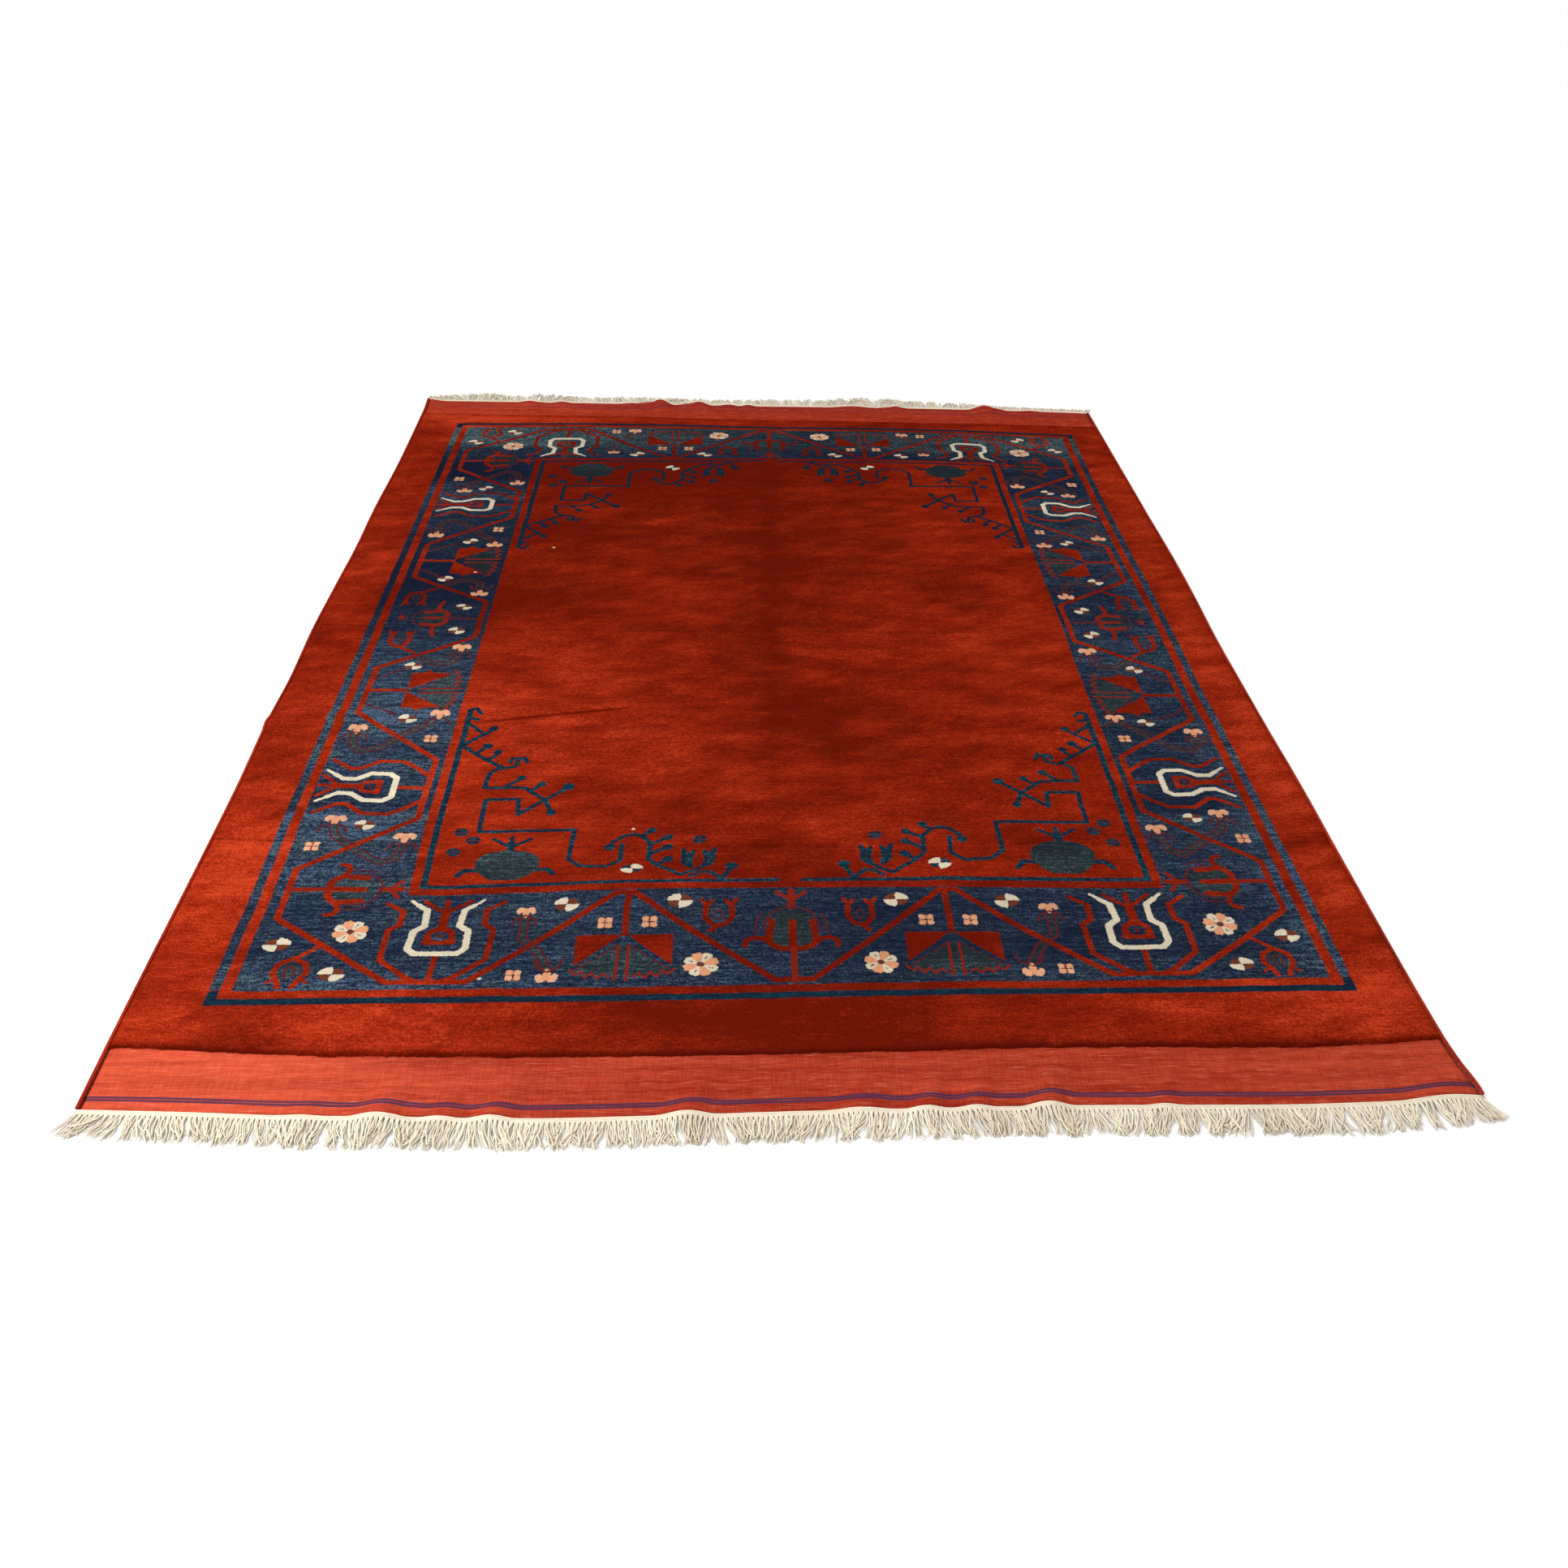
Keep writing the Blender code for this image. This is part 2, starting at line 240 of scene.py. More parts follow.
# ---------------------------------------------------------------- the woven pattern
# It is charted once for a quarter of the rug, in millimetres: a from the long middle line and b from the
# cross middle line. It is mirrored, and the weaver's drift then bends it.

# How far the pattern is drifted along the rug: y in metres, and the drift at these x
DRIFT_COLUMNS = ("y", -0.93, -0.6, -0.3, 0.0, 0.3, 0.6, 0.93)
DRIFT = [
    (-1.27, -6, -6, -4, 0, 6, 4, 6),
    (-1.12, -6, -9, -4, 1, 1, -2, 6),
    (-0.98, -8, -10, 8, 9, 13, 6, 10),
    (-0.9, -8, -14, -8, 0, 15, 13, 13),
    (-0.75, -5, -16, -8, 0, 14, 14, 18),
    (-0.57, 4, -10, 0, 0, 10, 13, 20),
    (-0.4, 2, 2, 0, 0, 10, 8, -4),
    (-0.21, 8, 6, 0, 0, 10, 12, 14),
    (0.0, 25, 22, 10, 10, 20, 30, 40),
    (0.23, 20, 20, 20, 30, 40, 45, 45),
    (0.41, 15, 20, 20, 30, 50, 64, 60),
    (0.58, 20, 22, 20, 30, 50, 55, 50),
    (0.76, -10, 13, 18, 35, 52, 52, 28),
    (0.93, -12, 17, 22, 45, 55, 54, 24),
    (1.02, -4, 18, 30, 48, 53, 48, 24),
    (1.12, -12, 10, 22, 37, 42, 36, 12),
    (1.29, 0, 20, 25, 24, 29, 29, 5),
]

# How far the right-hand border stands out past its mirrored place, at y in metres
RIGHT_COLUMNS = ("y", "out")
RIGHT_OUT = [
    (-1.3, 6), (-0.5, 6), (-0.25, 2.5), (0.0, 5.5), (0.3, 4.5), (0.5, 1.5), (0.9, 1), (1.3, 6),
]

# How far sideways the front border lies, at x in metres
FRONT_COLUMNS = ("x", "across")
FRONT_ACROSS = [
    (-0.95, 2), (-0.75, 5), (-0.6, 4), (-0.45, -2), (-0.3, -5), (-0.15, -3),
    (0.0, 0), (0.13, -6), (0.3, -7), (0.45, -4), (0.6, 0), (0.95, 0),
]

# The woven colours, each drawn over the ones before it
LAYERS = ("blue", "ink", "teal", "red", "dull_red", "cream", "petal", "salmon", "brown", "maroon")
DETAIL = "detail"  # distance to the outline of the nearest small shape
FAR = 40.0  # distances past this aren't worked out

# Outer edges of the border's bands: name, distance from the middle lines at the sides and at the ends
BANDS = [
    ("outer_blue", 937.5, 1280),
    ("outer_red", 920.5, 1265),
    ("ground", 902, 1247),
    ("inner_red", 674, 1000),
    ("inner_blue", 657, 982),
    ("field", 645, 972),
]
CORNER_START = 388  # the inner lines run from here to the corner
CENTRE_GAP = 18
END_LINE = 1245  # past here the outer line is in the dark dye of the ends

WOBBLE = 1.0  # how unevenly the knots lie, in cells of these two lengths in metres
WOBBLE_LONG, WOBBLE_SHORT = 0.05, 0.035
FRONT_START = -0.78  # the sideways shift sets in before here, in metres
FRONT_EASE = 0.2  # and grows to its full amount over this length

# For the front left, front right, back left and back right quarter, 1 where the chart isn't mirrored
UNMIRRORED = (1, -1, -1, 1)


def spread(table, columns, x, y):
    """A table's values at points, smooth from row to row and straight between its columns of x."""
    places = columns[1:]
    rows = np.stack([along(table, columns, place, y) for place in places])
    spot = np.interp(x, places, np.arange(len(places)))
    i = np.clip(spot.astype(int), 0, len(places) - 2)
    t = spot - i
    point = np.arange(x.size)
    return rows[i, point] * (1 - t) + rows[i + 1, point] * t


def chart_place(x, y):
    """Where points of the rug lie on the quarter chart, and the number of their quarter."""
    u, v = 1000 * x, 1000 * y
    out = np.where(x > 0, along(RIGHT_OUT, RIGHT_COLUMNS, "out", y) * u / BANDS[0][1], 0.0)
    across = along(FRONT_ACROSS, FRONT_COLUMNS, "across", x) * ease((FRONT_START - y) / FRONT_EASE)
    u = u - out - across + WOBBLE * noise(x, y, WOBBLE_LONG, WOBBLE_SHORT, 11)
    v = v - spread(DRIFT, DRIFT_COLUMNS, x, y) + WOBBLE * noise(x, y, WOBBLE_SHORT, WOBBLE_LONG, 12)
    return np.abs(u), np.abs(v), 2 * (v > 0) + (u > 0)


class Chart:
    """Distances from points of the rug to the shapes of each colour, below zero inside them."""

    def __init__(self, a, b, quarter):
        self.a, self.b, self.quarter = a, b, quarter
        self.only = None  # the number of a quarter to draw in, or None for all
        self.layers = {name: np.full(a.shape, FAR) for name in (*LAYERS, DETAIL)}

    def near(self, points):
        """The numbers of the points that lie around a shape."""
        low, high = np.min(points, 0), np.max(points, 0)
        inside = (self.a > low[0] - FAR) & (self.a < high[0] + FAR)
        inside &= (self.b > low[1] - FAR) & (self.b < high[1] + FAR)
        if self.only is not None:
            inside &= self.quarter == self.only
        return np.flatnonzero(inside)

    def join(self, layer, chosen, found, detailed):
        self.layers[layer][chosen] = np.minimum(self.layers[layer][chosen], found)
        if detailed:
            self.layers[DETAIL][chosen] = np.minimum(self.layers[DETAIL][chosen], np.abs(found))

    def stroke(self, layer, points, width, detailed=True):
        """A line through the points."""
        for start, stop in zip(points, points[1:]):
            chosen = self.near([start, stop])
            found = segment_distance(self.a[chosen], self.b[chosen], start, stop) - width / 2
            self.join(layer, chosen, found, detailed)

    def ribbon(self, layer, points, apart, width):
        """Two lines side by side along the points."""
        chosen = self.near(points)
        a, b = self.a[chosen], self.b[chosen]
        middle = [segment_distance(a, b, start, stop) for start, stop in zip(points, points[1:])]
        self.join(layer, chosen, np.abs(np.min(middle, 0) - apart / 2) - width / 2, True)

    def disc(self, layer, centre, radius):
        chosen = self.near([centre])
        found = np.hypot(self.a[chosen] - centre[0], self.b[chosen] - centre[1]) - radius
        self.join(layer, chosen, found, True)

    def polygon(self, layer, points):
        chosen = self.near(points)
        found = polygon_distance(self.a[chosen], self.b[chosen], points)
        self.join(layer, chosen, found, True)

    def cut(self, layer, points):
        """Takes a polygon out of a layer."""
        chosen = self.near(points)
        found = -polygon_distance(self.a[chosen], self.b[chosen], points)
        self.layers[layer][chosen] = np.maximum(self.layers[layer][chosen], found)


def segment_distance(a, b, start, stop):
    along_a, along_b = stop[0] - start[0], stop[1] - start[1]
    span = max(along_a**2 + along_b**2, 1e-12)
    t = np.clip(((a - start[0]) * along_a + (b - start[1]) * along_b) / span, 0, 1)
    return np.hypot(a - start[0] - t * along_a, b - start[1] - t * along_b)


def polygon_distance(a, b, points):
    """Distance to a polygon's outline, below zero inside."""
    nearest = np.full(a.shape, np.inf)
    odd = np.zeros(a.shape, bool)
    for start, stop in zip(points, [*points[1:], points[0]]):
        nearest = np.minimum(nearest, segment_distance(a, b, start, stop))
        crosses = (start[1] > b) != (stop[1] > b)
        slope = (stop[0] - start[0]) / (stop[1] - start[1] if stop[1] != start[1] else 1e-12)
        odd ^= crosses & (a < start[0] + slope * (b - start[1]))
    return np.where(odd, -nearest, nearest)


def mirrored(points):
    return [(-p, q) for p, q in points]


def whole(half):
    """A closed outline from its right half, listed from the top down."""
    return half + mirrored(half)[::-1]


class Motif:
    """Draws with points (p across, q up) about a motif's own centre, turned and flipped on the chart."""

    def __init__(self, chart, centre, turned=False, flip=(1, 1)):
        self.chart, self.centre, self.turned, self.flip = chart, centre, turned, flip

    def at(self, point):
        p, q = point[0] * self.flip[0], point[1] * self.flip[1]
        across, up = (q, p) if self.turned else (p, q)
        return (self.centre[0] + across, self.centre[1] + up)

    def stroke(self, layer, points, width):
        self.chart.stroke(layer, [self.at(point) for point in points], width)

    def both(self, layer, points, width):
        """A line and its mirror image."""
        self.stroke(layer, points, width)
        self.stroke(layer, mirrored(points), width)

    def disc(self, layer, point, radius):
        self.chart.disc(layer, self.at(point), radius)

    def polygon(self, layer, points):
        self.chart.polygon(layer, [self.at(point) for point in points])

    def both_sides(self, layer, points):
        """A polygon and its mirror image."""
        self.polygon(layer, points)
        self.polygon(layer, mirrored(points))

    def cut(self, layer, points):
        self.chart.cut(layer, [self.at(point) for point in points])


# Red meander between the lines of the border, from the middle of a side round to the middle of an end
MEANDER_WIDTH = 12
MEANDER = [
    (690, -20), (690, 85), (880, 215), (880, 405), (692, 570), (692, 765),
    (878, 925), (878, 1062), (865, 1075), (668, 1229), (535, 1229), (303, 1008),
    (272, 1008), (32, 1235), (-20, 1235),
]

# A vase, half of each line: its cream outline and lip, and the red frame round it
END_VASE = {
    "outline": [(0, 0), (36, 0), (48.5, 14), (47, 58), (30, 73), (33, 114)],
    "lip": [(33, 114), (49, 127.5), (63, 140.5)],
    "frame": [(102.5, 133.5), (73, 113), (73, 75), (90, 61), (88, -15), (40, -61), (28, -67)],
    "foot": 67,
    "narrow": 1.0,
}
SIDE_VASE = {
    "outline": [(0, 0), (31, 0), (43.5, 14), (43.5, 50), (24.5, 77), (23.5, 102)],
    "lip": [(23.5, 102), (36, 119), (50, 137)],
    "frame": [(87, 134), (70, 112), (57.5, 95), (57.5, 78), (71, 62),
              (86, 43), (85, -7), (65, -33), (44, -56)],
    "foot": 62,
    "narrow": 0.8,
}
VASE_HEAD = [(10, 70), (24.5, 58), (29, 26), (24, 23.5)]
VASE_EYE = [(8, 57), (14.5, 51), (15, 38), (9, 34.5)]


def vase(chart, shape, centre, turned, flip):
    flower = Motif(chart, centre, turned, (flip[0] * shape["narrow"], flip[1]))
    motif = Motif(chart, centre, turned, flip)
    flower.both("red", [(40, 139), (12, 115), (0, 108)], 8.5)
    flower.stroke("red", [(0, 140), (0, 112)], 10)
    flower.stroke("red", [(0, 108), (0, 66)], 16)
    flower.polygon("red", whole(VASE_HEAD))
    flower.cut("red", whole(VASE_EYE))
    flower.disc("maroon", (0, 46), 5)
    motif.stroke("red", [(0, -8), (0, -shape["foot"])], 10)
    motif.both("red", shape["frame"][:2], 8.5)
    motif.both("red", shape["frame"][1:], 10.5)
    motif.both("cream", shape["outline"], 12)
    motif.both("cream", shape["lip"][:2], 10)
    motif.both("cream", shape["lip"][1:], 6.2)


def rosette(chart, centre):
    """Eight petals, cream and salmon by turns."""
    motif = Motif(chart, centre)
    petal = [(-3, 6), (-9.8, 22.5), (-5.8, 29.5), (5.8, 29.5), (9.8, 22.5), (3, 6)]
    for k in range(8):
        angle = np.pi * (k + 0.4) / 4
        along_p, along_q = np.cos(angle), np.sin(angle)
        turned = [(q * along_p - p * along_q, q * along_q + p * along_p) for p, q in petal]
        motif.polygon("cream" if k % 2 else "salmon", turned)
        if k % 2:
            mark = [(15 * along_p, 15 * along_q), (21 * along_p, 21 * along_q)]
            motif.stroke("brown", mark, 2.8)
    motif.disc("brown", (0, 0), 4.6)


LIGHT_WING = [(0.5, 1), (-12, -1.5), (-22.5, 1), (-20.5, 9), (-12, 16.5), (-1, 19.5), (2.5, 10.5)]
DARK_WING = [(2, 1), (3.5, 15.5), (10.5, 15), (18.5, 8.5), (20.5, 1), (10, -1)]
BUTTERFLY_HEIGHT = 0.94


def butterfly(chart, centre, size, slopes, dark="brown"):
    """Two light wings along a slope, which each quarter has its own way, and two dark ones across it."""
    for quarter, slope in enumerate(slopes):
        chart.only = quarter
        tilt = slope * UNMIRRORED[quarter]
        for way in (-1, 1):
            motif = Motif(chart, centre, flip=(-way * tilt * size, way * size * BUTTERFLY_HEIGHT))
            motif.polygon(dark, DARK_WING)
            motif.polygon("cream", LIGHT_WING)
    chart.only = None


# Half of a clover: a pale lobe to the side, and the salmon one between the lobes
CLOVER_LOBE = [(1.5, -6), (6, -11), (14.5, -11), (20.5, -3.5), (20.5, 6),
               (13.5, 9), (8.5, 3), (1.5, 6)]
CLOVER_PRONG = [(0, -9.5), (5.2, -4), (7.2, 8), (4.5, 17.5), (0, 20.5)]


def clover(chart, centre, way, width, length):
    """Three lobes, the longest pointing outward where way is 1, and the faint arms of a tendril past it."""
    motif = Motif(chart, centre, flip=(width, way * length))
    motif.both_sides("petal", CLOVER_LOBE)
    motif.polygon("salmon", whole(CLOVER_PRONG))
    motif.both("maroon", [(9, 17), (21, 24), (26, 41)], 4.8)


def tendril(chart, points):
    """A faint green stalk between two dark red lines."""
    chart.stroke("teal", points, 9)
    chart.ribbon("maroon", points, 13.5, 4.2)


def cross_flower(chart, centre):
    """A small round flower of light petals, with a dark cross on it."""
    motif = Motif(chart, centre)
    motif.disc("petal", (0, 0), 12)
    for k in range(4):
        angle = np.pi * (k + 0.5) / 2
        motif.disc("salmon" if k % 2 else "petal", (10.5 * np.cos(angle), 11 * np.sin(angle)), 5.8)
    motif.stroke("maroon", [(-10, 0), (10, 0)], 2.6)
    motif.stroke("maroon", [(0, -14), (0, 14)], 3)


FAN_LEAF = [(3, -20), (80, -90), (66, -100), (38, -100), (12, -106)]
FAN_FRILL = [
    (86, -86), (76, -99), (66, -90), (58, -106), (48, -93), (38, -108), (28, -95), (19, -106),
]
END_TRIANGLE = [(4, 2), (81.5, 2), (80.5, -76)]
SIDE_TRIANGLE = [(4, 2), (73, 2), (74, -22), (88, -33), (75, -42), (72.5, -85)]


def fan(chart, centre, turned, flip, triangle, stem):
    """Two red triangles either side of a green fan, on a stem that reaches to the meander."""
    motif = Motif(chart, centre, turned, flip)
    motif.stroke("red", [(0, stem), (0, 4)], 11)
    motif.both_sides("red", triangle)
    motif.polygon("teal", whole(FAN_LEAF))
    motif.both("maroon", [(12, -27), (42, -54)], 3.6)
    motif.both("maroon", [(50, -62), (78, -86)], 3.6)
    motif.both("dull_red", [(8.5, -26), (9.5, -112)], 5)
    motif.both("dull_red", FAN_FRILL, 4.4)


def tulip(chart, centre, flip, stem):
    """A red U with forked tips, and a stem to the meander."""
    motif = Motif(chart, centre, flip=flip)
    motif.both("maroon", [(0, 12), (7.5, 4), (7.5, -8), (0, -14)], 3)
    motif.both("red", [(30, 37), (21.5, 24)], 7.5)
    motif.both("red", [(21.5, 26), (22.5, -8), (12, -24), (0, -28)], 10.2)
    motif.both("red", [(12, 34), (20.5, 20)], 7.5)
    motif.stroke("red", [(3, -27), stem], 9.5)


PALMETTE_BODY = [(0, 100), (20, 96), (34, 80), (40, 50), (38, 15), (20, 4)]
PALMETTE_HOOP = [(0, 0), (22, 2), (37, 12), (42, 28), (38, 50), (36, 72)]


def palmette(chart, centre, turned, flip, stem):
    """A dark green body in a red hoop with hooks, and a small crown."""
    motif = Motif(chart, centre, turned, flip)
    motif.polygon("teal", whole(PALMETTE_BODY))
    motif.stroke("dull_red", [(0, 0), (0, -stem)], 11)
    motif.stroke("red", [(0, 0), (0, 70)], 13.5)
    motif.both("red", PALMETTE_HOOP, 12.5)
    motif.both("red", [(41, 18), (53, 28), (66, 31), (78, 25), (80, 11)], 10)
    motif.both("maroon", [(50, 46), (47, 72), (36, 94), (16, 105), (0, 107)], 4.6)
    motif.both("maroon", [(63, 42), (62, 70), (54, 90)], 4)
    motif.both("dull_red", [(26, 146), (12, 134), (0, 128)], 8)
    motif.stroke("dull_red", [(0, 108), (0, 150)], 13)


def side_palmette(chart, centre):
    """A smaller one whose arms close round its body."""
    motif = Motif(chart, centre, turned=True)
    motif.polygon("teal", whole([(20, 66), (33, 50), (36, 15), (16, 3)]))
    motif.stroke("maroon", [(0, 0), (0, -70)], 9)
    motif.stroke("dull_red", [(0, 0), (0, 50)], 11)
    motif.both("dull_red", [(0, 0), (18, 1), (30, 8), (34, 22), (28, 54)], 11.5)
    motif.both("dull_red", [(31, 12), (42, 27), (62, 26), (80, 21)], 10)
    motif.both("maroon", [(42, 30), (38, 60), (18, 75), (0, 78)], 4.4)
    motif.disc("dull_red", (0, 104), 7.5)
    motif.both("maroon", [(16, 108), (7, 92)], 5)


def corner_tulip(chart):
    motif = Motif(chart, (824, 1201))
    motif.stroke("red", [(-35, -66), (0, -34)], 8.5)
    motif.polygon("teal", whole([(10, -20), (16, 0), (8, 18)]))
    motif.both("maroon", [(0, -16), (9, -4), (5, 14)], 3.6)
    motif.both("red", [(0, -34), (22, -18), (26, 4), (16, 22), (11, 37)], 10)
    motif.both("red", [(20, 16), (31, 27)], 6)


# Places of the small motifs on the quarter chart
ROSETTES = [(750, 1100), (152, 1194)]
# a, b, size, and for each quarter 1 if the light wings rise to the right, -1 if they fall
BUTTERFLIES = [
    (861, 1134, 1.0, (1, -1, -1, -1)),
    (758, 1208, 1.0, (-1, 1, -1, 1)),
    (388, 1035, 1.0, (-1, 1, 1, -1)),
    (192, 1033, 1.0, (-1, 1, -1, -1)),
    (785, 789, 0.86, (-1, -1, 1, -1)),
    (776, 424, 0.86, (-1, -1, 1, 1)),
    (804, 207, 0.86, (-1, -1, 1, -1)),
    (737, 58, 0.86, (-1, 1, -1, 1)),
]
CLOVERS = [  # a, b, 1 if it points outward, width, length
    (457, 1050, 1, 0.82, 0.86),
    (404, 1221, -1, 0.9, 1.12),
    (841, 772, 1, 1.0, 0.98),
    (705, 822, 1, 1.0, 1.0),
    (868, 460, 1, 0.98, 1.2),
    (712, 404, 1, 0.98, 1.0),
    (712, 128, 1, 1.0, 1.05),
]
CROSS_FLOWERS = [(459, 1214), (317, 1085), (240, 1084), (866, 856), (715, 496)]
# Faint stalks between the clovers
TENDRILS = [
    [(457, 1068), (455, 1120), (425, 1155), (405, 1200)],
    [(841, 796), (832, 825), (775, 875), (738, 905), (712, 890), (705, 850)],
    [(868, 484), (868, 520), (845, 548), (808, 532), (775, 485), (722, 430)],
    [(716, 152), (716, 182), (738, 200), (768, 195), (810, 164)],
]
SPRAYS = [
    [(876, 262), (850, 246), (824, 220)],
    [(876, 360), (838, 390), (802, 412)],
]


def draw_border(chart):
    chart.stroke("red", MEANDER, MEANDER_WIDTH, detailed=False)
    vase(chart, END_VASE, (599, 1157), turned=False, flip=(1, -1))
    vase(chart, SIDE_VASE, (755, 667), turned=True, flip=(1, 1))
    fan(chart, (281, 1117), False, (1, -1), END_TRIANGLE, stem=108)
    fan(chart, (797, 310), True, (1, 1), SIDE_TRIANGLE, stem=83)
    for points in TENDRILS:
        tendril(chart, points)
    for place in ROSETTES:
        rosette(chart, place)
    for a, b, size, slopes in BUTTERFLIES:
        butterfly(chart, (a, b), size, slopes)
    for a, b, way, width, length in CLOVERS:
        clover(chart, (a, b), way, width, length)
    for place in CROSS_FLOWERS:
        cross_flower(chart, place)
    tulip(chart, (124, 1068), flip=(1, -1), stem=(14, -41))
    tulip(chart, (856, 101), flip=(-0.92, -1.0), stem=(46, -52))
    palmette(chart, (0, 1159), turned=False, flip=(1, -1), stem=80)
    palmette(chart, (811, 983), turned=True, flip=(0.9, -0.84), stem=78)
    side_palmette(chart, (767, 0))
    corner_tulip(chart)
    for points in SPRAYS:
        chart.stroke("maroon", points, 6)


# Dark drawing in the corners of the field
VINE_WIDTH = 9.4
TURTLE = [(24, 50), (42, 36), (53, 20), (59, 6), (59, -14), (50, -30), (34, -41), (12, -46)]
VINES = [
    # step beside the turtle, up to the crossing
    [(574, 804), (575, 702), (512.5, 701), (509, 751), (422.5, 662)],
    # upper vine, from the corner's line down to the crossing
    [(647.5, 518), (615, 548), (560, 594), (580, 612), (584, 661), (507.5, 663),
     (462.5, 704), (447.5, 744)],
    [(647.5, 440), (610, 478), (594, 460)],
    [(610, 478), (647.5, 518)],
    # lower vine, past the turtle to the arch
    [(574, 804), (397.5, 801), (400, 893), (376, 918), (330, 922), (304, 900),
     (305, 850)],
    [(326, 860), (323, 842), (305, 824), (285, 818), (270, 826), (254, 845),
     (253, 898), (237, 920), (215, 936), (194, 956), (165, 938), (144, 918)],
    [(270, 826), (256, 810)],
    [(253, 850), (224, 832)],
    [(253, 884), (224, 862)],
    [(237, 918), (219, 900)],
    # stems of the buds along the upper vine
    [(615, 548), (611, 536), (597.5, 521)],
    [(592, 567), (578, 556), (574, 542)],
    [(545, 660), (517.5, 633)],
    [(495, 674), (476, 655)],
    # small branch to the corner's line
    [(175, 962), (158, 948), (142, 947), (122, 970)],
    [(103, 928), (118, 968)],
    # flourish at the end of the line
    [(651, 390), (638, 386), (628, 402)],
    [(651, 414), (632, 424)],
    # small creature on the upper vine
    [(560, 598), (533, 590), (530, 566)],
    [(546, 576), (543, 563), (533, 562)],
    [(527, 566), (519, 560), (512, 577)],
]
BUDS = [  # a, b, radius
    (422.5, 662, 11.5), (447.5, 744, 9.5), (516.5, 630, 9), (475, 652, 8.5),
    (597.5, 519, 10.5), (574, 541, 9), (594, 458, 9.5), (327, 858, 10),
    (255, 808, 9), (222, 830, 8.8), (221, 861, 9.2), (218, 899, 10.2),
    (103, 927, 11.8),
]
# Small dark flowers, each with a cross on it
DARK_FLOWERS = [(606, 806), (581, 832), (612, 869), (163.5, 838)]
# Half of the double tulip on the lower vine, about its middle
DOUBLE_TULIP = [
    (6, -30), (10.5, -38.5), (15, -27), (20, -26), (28, -43),
    (33, -37), (30.5, -15), (30.5, 6), (22, 20), (8, 27),
    (6, 16), (10.5, 2), (8.5, -15),
]
DOUBLE_TULIP_FILL = [(17, -16), (22, -16), (22.5, 4), (16.5, 12)]


def draw_corner(chart):
    for points in VINES:
        chart.stroke("ink", points, VINE_WIDTH)
    for a, b, radius in BUDS:
        chart.disc("ink", (a, b), radius)
    for a, b in DARK_FLOWERS:
        chart.disc("ink", (a, b), 13)
        chart.stroke("maroon", [(a, b - 11), (a, b + 11)], 2.6)
        chart.stroke("maroon", [(a - 12, b), (a + 12, b)], 2)
    turtle = Motif(chart, (509, 911))
    turtle.polygon("teal", whole(TURTLE))
    turtle.stroke("ink", [(0, -44), (0, -70)], 15)
    turtle.stroke("ink", [(0, -66), (0, -88)], 9)
    turtle.both("ink", [(4, -60), (34, -83)], 8.5)
    turtle.both("ink", [(54, 18), (75, 16), (86, 32)], 11.5)
    tulips = Motif(chart, (164, 906))
    tulips.both_sides("ink", DOUBLE_TULIP)
    tulips.both_sides("teal", DOUBLE_TULIP_FILL)
    tulips.stroke("maroon", [(0, -14), (0, 2)], 4)
    butterfly(chart, (281, 932), 0.95, (1, -1, -1, 1), dark="ink")


def draw_bands(chart):
    """The lines and the ground of the border. The field and the margins stay red."""
    a, b = chart.a, chart.b
    edge = {name: np.maximum(a - at_sides, b - at_ends) for name, at_sides, at_ends in BANDS}
    outer_line = np.maximum(edge["outer_blue"], -edge["outer_red"])
    inner_line = np.maximum(edge["inner_blue"], -edge["field"])
    inner_line = np.maximum(inner_line, np.maximum(CORNER_START - b, CENTRE_GAP - a))
    ground = np.maximum(edge["ground"], -edge["inner_red"])
    chart.layers["ink"] = np.minimum(chart.layers["ink"], inner_line)
    side_line = np.maximum(outer_line, b - END_LINE)
    end_line = np.maximum(outer_line, END_LINE - b)
    chart.layers["blue"] = np.minimum(chart.layers["blue"], np.minimum(side_line, ground))
    chart.layers["ink"] = np.minimum(chart.layers["ink"], end_line)


# Specks of white lint caught in the pile
LINT = [(-738, 265), (-562.5, 412.5), (-289, -811.5), (-514, -1228), (895, 1374)]
LINT_RADIUS = 3.5


def woven_distances(x, y):
    """Each layer's distances at points of the rug, in metres."""
    chart = Chart(*chart_place(x, y))
    draw_border(chart)
    draw_corner(chart)
    draw_bands(chart)
    for lint_x, lint_y in LINT:
        away = np.hypot(1000 * x - lint_x, 1000 * y - lint_y)
        chart.join("cream", slice(None), away - LINT_RADIUS, True)
    return {name: found / 1000 for name, found in chart.layers.items()}
